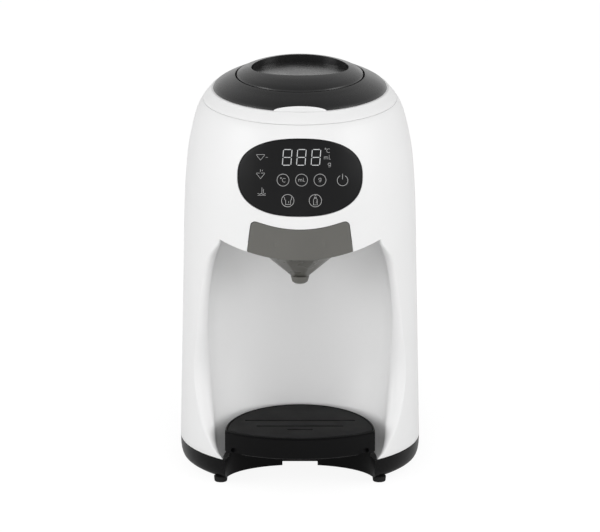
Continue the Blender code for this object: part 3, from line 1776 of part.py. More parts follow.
def make_tank_lid():
    """The tank's hinged lid, its origin on its hinge pin."""
    hinge = (0.0, tank_hinge_line, tank_hinge_z)
    low = tank_top + gap
    heights = [low, tank_lid_top - tank_lid_edge, tank_lid_top - tank_lid_edge / 3, tank_lid_top]
    insets = [0.0, 0.0, tank_lid_edge / 3, tank_lid_edge]
    lid = loft("tank_lid", [tank_plan(inset) for inset in insets], heights, "charcoal", hinge)
    spigot_inset = tank_wall + tank_lid_spigot_wall / 3
    spigot = loft(
        "tank_lid_spigot",
        [tank_plan(spigot_inset), tank_plan(spigot_inset)],
        [tank_top - tank_lid_spigot, tank_lid_top - tank_lid_edge],
    )
    hollow_inset = spigot_inset + tank_lid_spigot_wall
    hollow = loft(
        "tank_lid_hollow",
        [tank_plan(hollow_inset), tank_plan(hollow_inset)],
        [tank_top - tank_lid_spigot - overrun, tank_lid_top - tank_lid_plate],
    )
    join(lid, spigot)
    cut(lid, hollow)
    knuckle_reach = tank_ear_inner_x - 2 * gap
    arm = box(
        "tank_lid_arm",
        (-knuckle_reach, tank_rear_y - tank_lid_edge, low + gap),
        (knuckle_reach, tank_hinge_line, tank_hinge_z + tank_hinge_radius / 2),
    )
    knuckle = rod(
        "tank_lid_knuckle",
        tank_hinge_radius,
        (-knuckle_reach, tank_hinge_line, tank_hinge_z),
        (knuckle_reach, tank_hinge_line, tank_hinge_z),
        steps=14,
    )
    pin_hole = rod(
        "tank_lid_pin_hole",
        tank_hinge_bore_radius,
        (-column_radius / 2, tank_hinge_line, tank_hinge_z),
        (column_radius / 2, tank_hinge_line, tank_hinge_z),
        steps=10,
    )
    join(lid, arm, knuckle)
    cut(lid, pin_hole)
    rod(
        "tank_hinge_pin",
        tank_hinge_pin_radius,
        (-tank_ear_outer_x, tank_hinge_line, tank_hinge_z),
        (tank_ear_outer_x, tank_hinge_line, tank_hinge_z),
        "steel",
        steps=10,
        axis=hinge,
    )


def make_valve():
    """The outlet valve, held open by the coupler's pin while the tank is seated, and its spring."""
    seat = tank_low + tank_wall
    disc_low = seat + gap + valve_lift
    valve = turned(
        "tank_valve",
        [
            (0.0, disc_low + valve_disc),
            (valve_radius, disc_low + valve_disc),
            (valve_radius, disc_low),
            (valve_stem_radius, disc_low),
            (valve_stem_radius, coupler_pin_top + gap),
            (0.0, coupler_pin_top + gap),
        ],
        "rubber",
        24,
    )
    valve.location = (0, tank_mid_y, 0)
    spring_low = disc_low + valve_disc + spring_wire + gap
    spring_high = bridge_z - spring_wire - gap
    path = []
    for step in range(spring_turns * spring_points + 1):
        angle = 2 * math.pi * step / spring_points
        height = spring_low + (spring_high - spring_low) * step / (spring_turns * spring_points)
        path.append((
            spring_radius * math.cos(angle),
            tank_mid_y + spring_radius * math.sin(angle),
            height,
        ))
    tube("valve_spring", path, spring_wire, "steel", 1, 1)


def make_pump():
    """The water pump on its rubber mount, with its two nipples."""
    floor = base_floor_top + gap
    mount_top = pump_low - gap
    rod("pump_mount", pump_radius - wall, (pump_x, pump_y, floor), (pump_x, pump_y, mount_top), "rubber")
    pump = rod("water_pump", pump_radius, (pump_x, pump_y, pump_low), (pump_x, pump_y, pump_high), "grey", 22)
    inlet = rod(
        "pump_inlet",
        hose_nipple_radius,
        (pump_x, pump_y + pump_radius - wall, pump_inlet_z),
        (pump_x, pump_y + pump_radius + pump_nipple, pump_inlet_z),
        steps=10,
    )
    outlet = rod(
        "pump_outlet",
        hose_nipple_radius,
        (pump_x, pump_y, pump_high - wall),
        (pump_x, pump_y, pump_high + pump_nipple),
        steps=10,
    )
    join(pump, inlet, outlet)


def make_heater():
    """The flow heater on its bracket to the back wall, with end caps and thermostat."""
    heater = rod(
        "water_heater",
        heater_radius,
        (-heater_x, heater_y, heater_low),
        (-heater_x, heater_y, heater_high),
        "steel",
        steps=22,
    )
    for place in (heater_low, heater_high - heater_cap):
        cap = rod(
            "heater_cap",
            heater_cap_radius,
            (-heater_x, heater_y, place - gap),
            (-heater_x, heater_y, place + heater_cap + gap),
            steps=22,
        )
        join(heater, cap)
    for start, end in (
        (heater_low + heater_cap / 2, heater_low - heater_nipple),
        (heater_high - heater_cap / 2, heater_high + heater_nipple),
    ):
        nipple = rod(
            "heater_nipple",
            hose_nipple_radius,
            (-heater_x, heater_y, start),
            (-heater_x, heater_y, end),
            steps=10,
        )
        join(heater, nipple)
    box(
        "heater_bracket",
        (-heater_x - bracket_half_width, heater_y + heater_radius + gap, bracket_low),
        (-heater_x + bracket_half_width, dock_y - wall - gap, bracket_high),
        "steel",
    )
    rod(
        "thermostat",
        thermostat_radius,
        (-heater_x + heater_radius + gap, heater_y, bracket_low),
        (-heater_x + heater_radius + gap + thermostat_depth, heater_y, bracket_low),
        "black",
        steps=16,
    )


def make_hoses():
    """The three hoses: tank coupler to pump, pump to heater, heater to nozzle."""
    coupler_y = tank_mid_y - coupler_radius - coupler_nipple - gap
    inlet_y_end = pump_y + pump_radius + pump_nipple + gap
    reach = 4 * hose_radius
    tube(
        "inlet_hose",
        [
            (0, coupler_y, coupler_nipple_z),
            (0, coupler_y - hose_radius, coupler_nipple_z),
            (pump_x / 2, (coupler_y + inlet_y_end) / 2, coupler_nipple_z),
            (pump_x, inlet_y_end + hose_radius, pump_inlet_z),
            (pump_x, inlet_y_end, pump_inlet_z),
        ],
        hose_radius - gap,
        "silicone",
    )
    heater_bottom = heater_low - heater_nipple - gap
    pump_top = pump_high + pump_nipple + gap
    tube(
        "pump_hose",
        [
            (pump_x, pump_y, pump_top),
            (pump_x, pump_y, pump_top + hose_radius),
            (pump_x / 2, pump_y, pump_top + reach),
            (-heater_x / 2, heater_y, heater_bottom - reach),
            (-heater_x, heater_y, heater_bottom - hose_radius),
            (-heater_x, heater_y, heater_bottom),
        ],
        hose_radius,
        "silicone",
    )
    barb_z = nozzle_top - nozzle_radius
    barb_x = -nozzle_x - nozzle_radius - nozzle_barb - gap
    heater_top = heater_high + heater_nipple + gap
    tube(
        "outlet_hose",
        [
            (barb_x, -spout_y, barb_z),
            (barb_x - hose_radius, -spout_y, barb_z),
            (-heater_x - hose_radius, -spout_y / 2, barb_z),
            (-heater_x - hose_radius, spout_y / 4, barb_z),
            (-heater_x, deck_notch_y + reach / 3, barb_z - hose_radius / 2),
            (-heater_x, deck_notch_y + reach, deck_low - reach / 2),
            (-heater_x, heater_y, heater_top + reach),
            (-heater_x, heater_y, heater_top),
        ],
        hose_radius - gap,
        "silicone",
    )


def make_electrics():
    """The power board on the back wall, the cable to the display, and the power inlet in the side."""
    back = dock_y - wall - gap
    board = box(
        "power_board",
        (power_board_x - power_board_half_width, back - board_thickness, power_board_low),
        (power_board_x + power_board_half_width, back, power_board_high),
        "board",
    )
    transformer = box(
        "transformer",
        (power_board_x - transformer_half_width, back - board_thickness - transformer_depth, transformer_low),
        (power_board_x + transformer_half_width, back - board_thickness / 2, transformer_high),
    )
    join(board, transformer)
    cable_start = (board_half_width - wall, -board_y + board_thickness + cable_radius + gap, board_low + wall)
    ring_gap = (container_radius + column_radius) / 2
    sides = [ring_gap * share for share in cable_side_shares]
    fronts = [ring_gap * share for share in cable_front_shares]
    tube(
        "display_cable",
        [
            cable_start,
            (sides[0], -fronts[0], board_low - wall),
            (sides[1], -fronts[1], board_low - 2 * wall),
            (sides[2], 0, board_low - 2 * wall),
            (sides[3], deck_notch_y + wall, deck_high + 2 * wall),
            (sides[4], back - 6 * wall, deck_low - 2 * wall),
            (sides[5], back - 2 * wall, power_board_high + 3 * wall),
            (power_board_x + wall, back - cable_radius - gap, power_board_high + cable_radius + gap),
        ],
        cable_radius,
        "rubber",
        3,
        1,
    )
    inlet = box(
        "power_inlet",
        (inlet_face_x - inlet_depth, inlet_y - inlet_half_width, inlet_z - inlet_half_height),
        (inlet_face_x, inlet_y + inlet_half_width, inlet_z + inlet_half_height),
        "black",
    )
    socket_floor = inlet_face_x - inlet_socket_depth
    socket = box(
        "socket_middle",
        (socket_floor, inlet_y - inlet_socket_spacing, inlet_z - inlet_socket_radius),
        (inlet_face_x + overrun, inlet_y + inlet_socket_spacing, inlet_z + inlet_socket_radius),
    )
    for side in (-1, 1):
        y = inlet_y + side * inlet_socket_spacing
        end = rod(
            "socket_end",
            inlet_socket_radius,
            (socket_floor, y, inlet_z),
            (inlet_face_x + overrun, y, inlet_z),
            steps=20,
        )
        join(socket, end)
    cut(inlet, socket)
    for side in (-1, 1):
        y = inlet_y + side * inlet_socket_spacing
        pin = rod(
            "inlet_pin",
            inlet_pin_radius,
            (socket_floor - wall / 3, y, inlet_z),
            (socket_floor + inlet_pin_length, y, inlet_z),
            steps=8,
        )
        join(inlet, pin)


clear_scene()
start_collections()
column_axis = bpy.data.objects.new("column_axis", None)
column_axis.location = (0, column_y, 0)
part_collection.objects.link(column_axis)
make_shells()
make_top_ring()
make_lid()
make_lid_liner()
make_panel()
make_funnel_drawer()
make_rails()
make_deck()
make_container()
make_rotor()
make_drive()
make_chute_and_nozzle()
make_base()
make_tray()
make_tank_deck()
make_coupler()
make_tank()
make_tank_lid()
make_valve()
make_pump()
make_heater()
make_hoses()
make_electrics()
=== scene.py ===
"""Looks of the baby formula maker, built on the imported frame.

Metres, +Z up, the front faces -Y. Shapes are drawn about the column's axis and then moved to column_y.
"""

import json
import math

import bmesh
import bpy
from mathutils import Matrix, Vector


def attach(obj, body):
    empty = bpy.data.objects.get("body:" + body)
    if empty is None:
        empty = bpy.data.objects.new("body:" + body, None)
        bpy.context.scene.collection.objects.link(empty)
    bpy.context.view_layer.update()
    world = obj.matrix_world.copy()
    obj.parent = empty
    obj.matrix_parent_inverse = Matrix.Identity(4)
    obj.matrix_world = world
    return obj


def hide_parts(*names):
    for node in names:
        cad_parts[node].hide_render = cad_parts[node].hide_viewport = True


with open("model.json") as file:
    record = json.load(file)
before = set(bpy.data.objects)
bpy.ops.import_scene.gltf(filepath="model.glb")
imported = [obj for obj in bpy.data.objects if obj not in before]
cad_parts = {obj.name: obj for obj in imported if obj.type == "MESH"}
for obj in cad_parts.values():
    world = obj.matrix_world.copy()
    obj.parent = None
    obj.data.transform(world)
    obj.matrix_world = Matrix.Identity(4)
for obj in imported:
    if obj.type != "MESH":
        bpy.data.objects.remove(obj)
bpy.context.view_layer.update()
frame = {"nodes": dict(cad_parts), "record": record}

# Main sizes, the same as in the frame, with Y counted from the column's axis
column_y = -0.0436
column_radius = 0.0884
base_bottom = 0.0042
base_top = 0.0190
shoulder_top = 0.2865
ring_seam = 0.2781
split_y = 0.0300
dock_y = 0.0780
tank_y = 0.1050
tank_reach = 0.1756
wall = 0.0030
gap = 0.0003
shell_edge = 0.00025

# How far cutters reach past what they cut, and a length beyond the object
over = 0.0100
far = 0.3

# The column: shares of its radius, in front and to the rear, at shares of its height
column_heights = [0.0, 0.30, 0.49, 0.677, 0.80, 0.877, 0.935, 0.972, 1.0]
column_radii = [1.0, 0.985, 0.975, 0.965, 0.941, 0.904, 0.860, 0.807, 0.741]
column_rears = [1.47, 1.47, 1.46, 1.44, 1.23, 1.03, 0.92, 0.825, 0.741]
column_powers = [3.0, 3.0, 3.0, 3.0, 2.9, 2.6, 2.3, 2.05, 2.0]

# The bottle bay: shares of its half width, lip radius and depth at shares of its height
bay_heights = [0.0, 0.035, 0.15, 0.34, 0.55, 0.75, 0.89, 0.96, 1.0]
bay_half_width = 0.0680
bay_widths = [0.834, 0.900, 0.930, 0.969, 1.0, 0.975, 0.918, 0.872, 0.840]
bay_lip_radius = 0.0080
bay_lips = [0.075, 0.20, 0.80, 1.0, 0.65, 0.50, 0.50, 0.25, 0.10]
bay_lip_turn = math.radians(125)
bay_rear = 0.0090
bay_rears = [0.11, 0.20, 0.40, 0.80, 1.0, 0.85, 0.40, 0.0, -0.44]
bay_top = 0.1880
bay_ceiling = 0.1784
bay_ceiling_rise = 0.0086
bay_corner_x = 0.0571
bay_wall_steps, bay_lip_steps, bay_rows, ceiling_steps = 26, 12, 44, 72

dressed = bpy.data.collections.new("dressed")
bpy.context.scene.collection.children.link(dressed)


# Shapes

def curve_value(places, values, place):
    """A smooth curve through the values at their places."""
    if place <= places[0]:
        return values[0]
    if place >= places[-1]:
        return values[-1]
    row = max(i for i in range(len(places)) if places[i] <= place)
    span = places[row + 1] - places[row]
    t = (place - places[row]) / span

    def slope(i):
        a, b = max(i - 1, 0), min(i + 1, len(places) - 1)
        return (values[b] - values[a]) / (places[b] - places[a])

    start, end = values[row], values[row + 1]
    lift = 3 * t**2 - 2 * t**3
    return (start + (end - start) * lift
            + span * (slope(row) * (t - 2 * t**2 + t**3) + slope(row + 1) * (t**3 - t**2)))


def power_curve(value, power):
    return math.copysign(abs(value) ** (2 / power), value)


def oval(half_width, front, rear, front_power, rear_power, count):
    """An outline of two half superellipses, one to the front and one to the rear."""
    points = []
    for i in range(count):
        a = 2 * math.pi * i / count
        power, depth = (rear_power, rear) if math.sin(a) >= 0 else (front_power, front)
        points.append((half_width * power_curve(math.cos(a), power), depth * power_curve(math.sin(a), power)))
    return points


def new_object(name, bm, at_column=True):
    bmesh.ops.recalc_face_normals(bm, faces=bm.faces)
    mesh = bpy.data.meshes.new(name)
    bm.to_mesh(mesh)
    bm.free()
    if at_column:
        mesh.transform(Matrix.Translation((0, column_y, 0)))
    obj = bpy.data.objects.new(name, mesh)
    dressed.objects.link(obj)
    return obj


def loft(name, rings, closed=True):
    """A body through rings of points, with its two ends filled where closed is set."""
    bm = bmesh.new()
    rows = [[bm.verts.new(p) for p in ring] for ring in rings]
    for low, high in zip(rows, rows[1:]):
        for i in range(len(low)):
            j = (i + 1) % len(low)
            bm.faces.new((low[i], low[j], high[j], high[i]))
    if closed:
        bm.faces.new(list(reversed(rows[0])))
        bm.faces.new(rows[-1])
    return new_object(name, bm)


def plan_loft(name, outlines, heights):
    return loft(name, [[(x, y, z) for x, y in line] for line, z in zip(outlines, heights)])


def prism(name, outline, low, high, along="Z"):
    if along == "Z":
        return loft(name, [[(x, y, h) for x, y in outline] for h in (low, high)])
    return loft(name, [[(x, h, z) for x, z in outline] for h in (low, high)])


def box(name, low, high, edge=0.0):
    bm = bmesh.new()
    bmesh.ops.create_cube(bm, size=1.0)
    bmesh.ops.scale(bm, vec=Vector(high) - Vector(low), verts=bm.verts)
    bmesh.ops.translate(bm, vec=(Vector(high) + Vector(low)) / 2, verts=bm.verts)
    if edge:
        bmesh.ops.bevel(bm, geom=bm.edges, offset=edge, segments=3, profile=0.5, affect="EDGES")
    return new_object(name, bm)


def across(low_y, high_y):
    """A cutter over the whole width and height between two depths."""
    return box("across", (-far, low_y, -far), (far, high_y, 2 * far))


def rod(name, radius, start, end, steps=48):
    start, end = Vector(start), Vector(end)
    turn = (end - start).to_track_quat("Z", "Y").to_matrix().to_4x4()
    bm = bmesh.new()
    bmesh.ops.create_cone(bm, cap_ends=True, segments=steps, radius1=radius, radius2=radius,
                          depth=(end - start).length, matrix=Matrix.Translation((start + end) / 2) @ turn)
    return new_object(name, bm)


def turned(name, profile, steps, centre=(0.0, 0.0)):
    """A turned body from a profile of (radius, height) that starts and ends on the axis."""
    bm = bmesh.new()
    columns = []
    for i in range(steps):
        a = 2 * math.pi * (i + 0.5) / steps
        columns.append([bm.verts.new((r * math.cos(a) + centre[0], r * math.sin(a) + centre[1], z))
                        for r, z in profile[1:-1]])
    first, last = [bm.verts.new((*centre, profile[k][1])) for k in (0, -1)]
    columns = [[first] + column + [last] for column in columns]
    for one, two in zip(columns, columns[1:] + columns[:1]):
        for k in range(len(profile) - 1):
            bm.faces.new(list(dict.fromkeys((one[k], two[k], two[k + 1], one[k + 1]))))
    return new_object(name, bm)


def rounded(points, radius, steps=5):
    """A closed outline with filleted corners; points are (a, b, share of the radius)."""
    result = []
    count = len(points)
    for i in range(count):
        before, here, after = (Vector(points[(i + k) % count][:2]) for k in (-1, 0, 1))
        r = radius * points[i][2]
        if r <= 0:
            result.append(tuple(here))
            continue
        back, on = (before - here).normalized(), (after - here).normalized()
        half = math.acos(max(-1, min(1, back.dot(on)))) / 2
        reach = r / math.tan(half)
        centre = here + (back + on).normalized() * (r / math.sin(half))
        a, b = here + back * reach - centre, here + on * reach - centre
        turn = a.angle_signed(b)
        for k in range(steps + 1):
            c, s = math.cos(-turn * k / steps), math.sin(-turn * k / steps)
            result.append((centre.x + a.x * c - a.y * s, centre.y + a.x * s + a.y * c))
    return result


def combine(target, others, operation):
    """Cuts or joins at once and keeps the result as the target's own mesh."""
    for other in others:
        modifier = target.modifiers.new("combine", "BOOLEAN")
        modifier.operation = operation
        modifier.solver = "EXACT"
        modifier.object = other
    bpy.context.view_layer.update()
    seen = target.evaluated_get(bpy.context.evaluated_depsgraph_get())
    made = bpy.data.meshes.new_from_object(seen)
    target.modifiers.clear()
    target.data = made
    for other in others:
        bpy.data.objects.remove(other, do_unlink=True)
    return target


def cut(target, *others):
    return combine(target, others, "DIFFERENCE")


def join(target, *others):
    return combine(target, others, "UNION")


weld = 2e-6


def finish(obj, body, look, *nodes, slot, angle=32):
    """Cleans and smooths a piece, gives it its material and lets it ride on a body."""
    bm = bmesh.new()
    bm.from_mesh(obj.data)
    bmesh.ops.remove_doubles(bm, verts=bm.verts, dist=weld)
    bmesh.ops.dissolve_degenerate(bm, edges=bm.edges, dist=weld)
    bm.to_mesh(obj.data)
    bm.free()
    dress(obj, look)
    obj.data.shade_smooth()
    obj.data.set_sharp_from_angle(angle=math.radians(angle))
    if nodes:
        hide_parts(*nodes)
    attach(obj, body)


def dress(obj, look):
    obj.data.materials.clear()
    obj.data.materials.append(look)
    for polygon in obj.data.polygons:
        polygon.material_index = 0


# Materials

mottle_scale, gloss_scale = 22, 60
noise_range = (0.3, 0.7)
edge_range = (0.52, 0.62)
rubbed_gain, rubbed_lift = 1.5, 0.02
least_rough, coat_rough = 0.02, 0.12
grain_strength = 0.35


def material(name, colour, rough, grain, mottle, specular=0.5, metal=0.0, rough_spread=0.04, wear=0.0,
             coat=0.0, transmission=0.0, ior=1.5, streak=None):
    """A surface with mottled colour, uneven gloss, a grain (its scale and depth) and rubbed edges."""
    made = bpy.data.materials.new(name)
    made.use_nodes = True
    nodes, links = made.node_tree.nodes, made.node_tree.links
    shader = nodes["Principled BSDF"]
    shader.inputs["Metallic"].default_value = metal
    shader.inputs["Specular IOR Level"].default_value = specular
    shader.inputs["IOR"].default_value = ior
    shader.inputs["Coat Weight"].default_value = coat
    shader.inputs["Coat Roughness"].default_value = coat_rough
    shader.inputs["Transmission Weight"].default_value = transmission
    place = nodes.new("ShaderNodeTexCoord").outputs["Object"]
    grain_place = place
    if streak:
        stretch = nodes.new("ShaderNodeMapping")
        stretch.inputs["Scale"].default_value = streak
        links.new(place, stretch.inputs["Vector"])
        grain_place = stretch.outputs["Vector"]

    def noise(scale, detail, source):
        node = nodes.new("ShaderNodeTexNoise")
        node.inputs["Scale"].default_value = scale
        node.inputs["Detail"].default_value = detail
        links.new(source, node.inputs["Vector"])
        return node.outputs["Fac"]

    def spread(source, low, high, start, end):
        node = nodes.new("ShaderNodeMapRange")
        for key, value in (("From Min", start), ("From Max", end), ("To Min", low), ("To Max", high)):
            node.inputs[key].default_value = value
        links.new(source, node.inputs["Value"])
        return node.outputs["Result"]

    def blend(share, first, second):
        node = nodes.new("ShaderNodeMix")
        node.data_type = "RGBA"
        links.new(share, node.inputs["Factor"])
        for key, value in (("A", first), ("B", second)):
            socket = [s for s in node.inputs if s.name == key and s.type == "RGBA"][0]
            if isinstance(value, tuple):
                socket.default_value = (*value, 1.0)
            else:
                links.new(value, socket)
        return [s for s in node.outputs if s.type == "RGBA"][0]

    dark = tuple(c * (1 - mottle) for c in colour)
    light = tuple(min(1.0, c * (1 + mottle)) for c in colour)
    shade = blend(spread(noise(mottle_scale, 4, place), 0, 1, *noise_range), dark, light)
    if wear:
        edge = spread(nodes.new("ShaderNodeNewGeometry").outputs["Pointiness"], 0, wear, *edge_range)
        rubbed = tuple(min(1.0, c * rubbed_gain + rubbed_lift) for c in colour)
        shade = blend(edge, shade, rubbed)
    links.new(shade, shader.inputs["Base Color"])
    smooth, coarse = max(least_rough, rough - rough_spread), rough + rough_spread
    uneven = spread(noise(gloss_scale, 3, grain_place), smooth, coarse, *noise_range)
    links.new(uneven, shader.inputs["Roughness"])
    bump = nodes.new("ShaderNodeBump")
    bump.inputs["Strength"].default_value = grain_strength
    bump.inputs["Distance"].default_value = grain[1]
    links.new(noise(grain[0], 2, grain_place), bump.inputs["Height"])
    links.new(bump.outputs["Normal"], shader.inputs["Normal"])
    return made


white = material("white_plastic", (0.86, 0.86, 0.86), 0.42, (700, 0.00002), 0.006)
charcoal = material("charcoal_plastic", (0.0082, 0.0082, 0.0085), 0.27, (1600, 0.00003), 0.06,
                    specular=0.68, wear=0.10)
black = material("black_plastic", (0.0028, 0.0028, 0.0030), 0.34, (1500, 0.00003), 0.12,
                 specular=0.4, ior=1.2, wear=0.10)
tray_black = material("tray_top_plastic", (0.0060, 0.0060, 0.0062), 0.50, (2600, 0.00005), 0.10,
                      specular=0.20, ior=1.2, wear=0.10)
panel_black = material("panel_black", (0.0105, 0.0105, 0.011), 0.34, (2400, 0.00001), 0.10, specular=0.10)
taupe = material("taupe_plastic", (0.132, 0.130, 0.120), 0.55, (2200, 0.00004), 0.05,
                 specular=0.25, wear=0.12)
smoke = material("smoke_plastic", (0.122, 0.120, 0.108), 0.28, (1800, 0.00001), 0.04, specular=0.4)
tank_clear = material("tank_plastic", (0.72, 0.76, 0.78), 0.10, (300, 0.00002), 0.02,
                      transmission=0.85, ior=1.2)
clear = material("clear_plastic", (0.80, 0.82, 0.83), 0.14, (300, 0.00002), 0.02, transmission=0.8, ior=1.2)
grey = material("grey_plastic", (0.30, 0.30, 0.31), 0.50, (1400, 0.00004), 0.05, specular=0.4)
rubber = material("rubber", (0.014, 0.014, 0.014), 0.80, (1200, 0.00008), 0.15, specular=0.2)
silicone = material("silicone", (0.62, 0.62, 0.60), 0.55, (800, 0.00004), 0.04)
steel = material("steel", (0.56, 0.56, 0.57), 0.28, (400, 0.00004), 0.08,
                 metal=1.0, rough_spread=0.08, streak=(1, 1, 14))
board = material("circuit_board", (0.02, 0.10, 0.05), 0.42, (350, 0.00008), 0.25, coat=0.2)
print_grey = material("panel_print", (0.44, 0.44, 0.44), 0.60, (3000, 0.00001), 0.10, specular=0.1)
digit_white = material("digit_light", (0.66, 0.67, 0.68), 0.60, (3000, 0.00001), 0.06, specular=0.1)

look_of_slot = {
    "white_shell": white, "charcoal_plastic": charcoal, "black_plastic": black, "panel_gloss": panel_black,
    "taupe_plastic": taupe, "smoke_plastic": smoke, "tank_plastic": tank_clear, "clear_plastic": clear,
    "grey_plastic": grey, "rubber_foot": rubber, "rubber_cable": rubber, "silicone": silicone,
    "steel": steel, "circuit_board": board,
}
slot_of_node = {row["node"]: row["material_slot"] for row in frame["record"]["subparts"]}
for node, obj in frame["nodes"].items():
    dress(obj, look_of_slot[slot_of_node[node]])


# The column and its bay

def skin(height):
    """The column's share of height there, and its radius."""
    share = (height - base_top) / (shoulder_top - base_top)
    return share, column_radius * curve_value(column_heights, column_radii, share)


def column_plan(height, inset=0.0, count=192):
    share, radius = skin(height)
    rear = column_radius * curve_value(column_heights, column_rears, share)
    power = curve_value(column_heights, column_powers, share)
    return oval(radius - inset, radius - inset, rear - inset, 2.0, power, count)


def edge_rows(low, high, count, edge):
    """Heights from low to high with small roundings at both ends, as (height, inset)."""
    if not edge:
        return [(low + (high - low) * i / count, 0.0) for i in range(count + 1)]
    ends = [(0.0, 1.0), (0.3, 0.3), (1.0, 0.0)]
    rows = [(low + edge * a, edge * b) for a, b in ends]
    rows += [(low + (high - low) * i / count, 0.0) for i in range(1, count)]
    return rows + [(high - edge * a, edge * b) for a, b in reversed(ends)]


def column_body(name, low, high, inset=0.0, count=60, edge=0.0):
    rows = edge_rows(low, high, count, edge)
    return plan_loft(name, [column_plan(z, inset + more) for z, more in rows], [z for z, _ in rows])


def bay_plan(height, grow):
    """The bay's outline at a height: a round back, two rolled lips, and open past the column's skin."""
    share = (height - base_top) / (bay_top - base_top)
    half_width = bay_half_width * curve_value(bay_heights, bay_widths, share)
    lip = bay_lip_radius * curve_value(bay_heights, bay_lips, share)
    rear = bay_rear * curve_value(bay_heights, bay_rears, share)
    lip_end_x = half_width + lip * (1 - math.cos(bay_lip_turn))
    lip_y = -math.sqrt(skin(height)[1]**2 - lip_end_x**2) + lip * math.sin(bay_lip_turn)
    radius = max(lip - grow, bay_lip_radius / 20)
    lip_x = half_width + grow + radius
    side = []
    for step in range(bay_wall_steps):
        a = math.pi / 2 * (1 - step / bay_wall_steps)
        side.append(((half_width + grow) * math.cos(a), lip_y + (rear + grow - lip_y) * math.sin(a)))
    for step in range(bay_lip_steps + 1):
        a = bay_lip_turn * step / bay_lip_steps
        side.append((lip_x - radius * math.cos(a), lip_y - radius * math.sin(a)))
    x, y = side[-1]
    reach = column_radius / 3
    side.append((x + reach * math.sin(bay_lip_turn), y - reach * math.cos(bay_lip_turn)))
    side.append((column_radius + reach, -column_radius - reach))
    return list(reversed(side + [(-x, y) for x, y in reversed(side[1:])]))


def ceiling_height(x):
    return bay_ceiling + bay_ceiling_rise * (x / bay_corner_x) ** 2


def bay_body(name, low, high, grow=0.0):
    """The bay as a cutter, with its arched ceiling, grown where asked."""
    rows = [base_top + (bay_top - base_top) * i / bay_rows for i in range(bay_rows)]
    heights = [low] + [z for z in rows if z < high] + [high]
    space = plan_loft(name, [bay_plan(z, grow) for z in heights], heights)
    reach = column_radius * 1.5
    line = []
    for i in range(ceiling_steps + 1):
        x = -reach + 2 * reach * i / ceiling_steps
        line.append((x, ceiling_height(x) + grow))
    block = prism("ceiling", line + [(reach, high + reach), (-reach, high + reach)], -2 * reach, reach, "Y")
    return cut(space, block)


# The shells, the touch panel's place and the drawer's front in the front view

plate_half_bottom, plate_half_top = 0.0390, 0.0320
plate_height, plate_rise, plate_corner = 0.0233, 0.0044, 0.0040
plate_apex_x, plate_apex_height = 0.0358, 0.0284
plate_low_corner_share, plate_top_share = 0.14, 0.94
plate_steps = 20
drawer_gap, drawer_tunnel_rear = 0.0004, 0.0040
panel_half_width, panel_z = 0.0460, 0.2388
panel_rise, panel_fall = 0.0302, 0.0269
panel_top_power, panel_low_power = 2.24, 2.63
panel_points = 120
lens_thickness, lens_edge = 0.0015, 0.0002
window_half_width, window_rear_y = 0.0290, -0.0580
window_low, window_high = 0.2230, 0.2600
inlet_x, inlet_y, inlet_z = 0.0670, 0.0500, 0.0460
inlet_half_width, inlet_half_height = 0.0099, 0.0079


def plate_outline(grow=0.0):
    """The drawer's front plate in the front view, with rounded upper corners."""
    half_low = plate_half_bottom + grow
    line = []
    for i in range(plate_steps + 1):
        x = half_low * (2 * i / plate_steps - 1)
        line.append((x, ceiling_height(x) - grow, plate_low_corner_share if i in (0, plate_steps) else 0))
    apex = (plate_apex_x + grow, bay_ceiling + plate_apex_height + grow)
    line.append((*apex, 1))
    for i in range(1, plate_steps):
        t = plate_top_share * (1 - 2 * i / plate_steps)
        line.append((t * plate_half_top, bay_ceiling + plate_height + plate_rise * t**2 + grow, 0))
    line.append((-apex[0], apex[1], 1))
    return rounded(line, plate_corner)


def panel_outline(grow=0.0):
    points = []
    for i in range(panel_points):
        a = 2 * math.pi * (i + 0.5) / panel_points
        power, height = (panel_top_power, panel_rise) if math.sin(a) > 0 else (panel_low_power, panel_fall)
        points.append(((panel_half_width + grow) * power_curve(math.cos(a), power),
                       panel_z + (height + grow) * power_curve(math.sin(a), power)))
    return points


def shell_and_hollow(name):
    outside = column_body(name, base_top + gap, ring_seam, edge=shell_edge)
    return outside, column_body("hollow", base_top - over, ring_seam + over, wall)


def make_shells():
    """The front moulding with its bay, panel pocket and drawer tunnel, and the rear moulding."""
    front, hollow = shell_and_hollow("front_shell_skin")
    cut(hollow, bay_body("bay_wall", base_top - 2 * over, bay_top + over, wall))
    pocket = prism("pocket", panel_outline(gap), -far, -column_radius / 2, "Y")
    cut(pocket, column_body("pocket_floor", base_top, ring_seam + over, lens_thickness + gap))
    tunnel = prism("tunnel", plate_outline(drawer_gap), -far, drawer_tunnel_rear, "Y")
    window = box("window", (-window_half_width, -column_radius - over, window_low),
                 (window_half_width, window_rear_y, window_high))
    bay = bay_body("bay", base_top - 2 * over, bay_top + over)
    cut(front, across(split_y - gap / 2, far), hollow, bay)
    cut(front, tunnel, pocket, window)
    finish(front, "housing", white, "front_shell", slot="white_shell")

    rear, hollow = shell_and_hollow("rear_shell_skin")
    cut(hollow, across(dock_y - wall, far))
    inlet = box("inlet_hole", (inlet_x, inlet_y - inlet_half_width, inlet_z - inlet_half_height),
                (column_radius + over, inlet_y + inlet_half_width, inlet_z + inlet_half_height))
    cut(rear, across(-far, split_y + gap / 2), hollow, across(dock_y, far), inlet)
    finish(rear, "housing", white, "rear_shell", slot="white_shell")


# The top ring and the lid

ring_top = 0.2862
ring_rows = 10
ring_bore = 0.0586
ring_relief_y = 0.0450
ring_lip_radius, ring_lip_low, ring_lip_top = 0.0606, 0.2840, 0.2879
hinge_y, hinge_z, hinge_radius = 0.0675, 0.2830, 0.0030
hinge_slot_y, hinge_slot_low = 0.0609, 0.2795
pin_radius, pin_reach = 0.0016, 0.0400
ear_start, ear_end = 0.0102, 0.0182
ring_steps, lid_steps = 144, 192

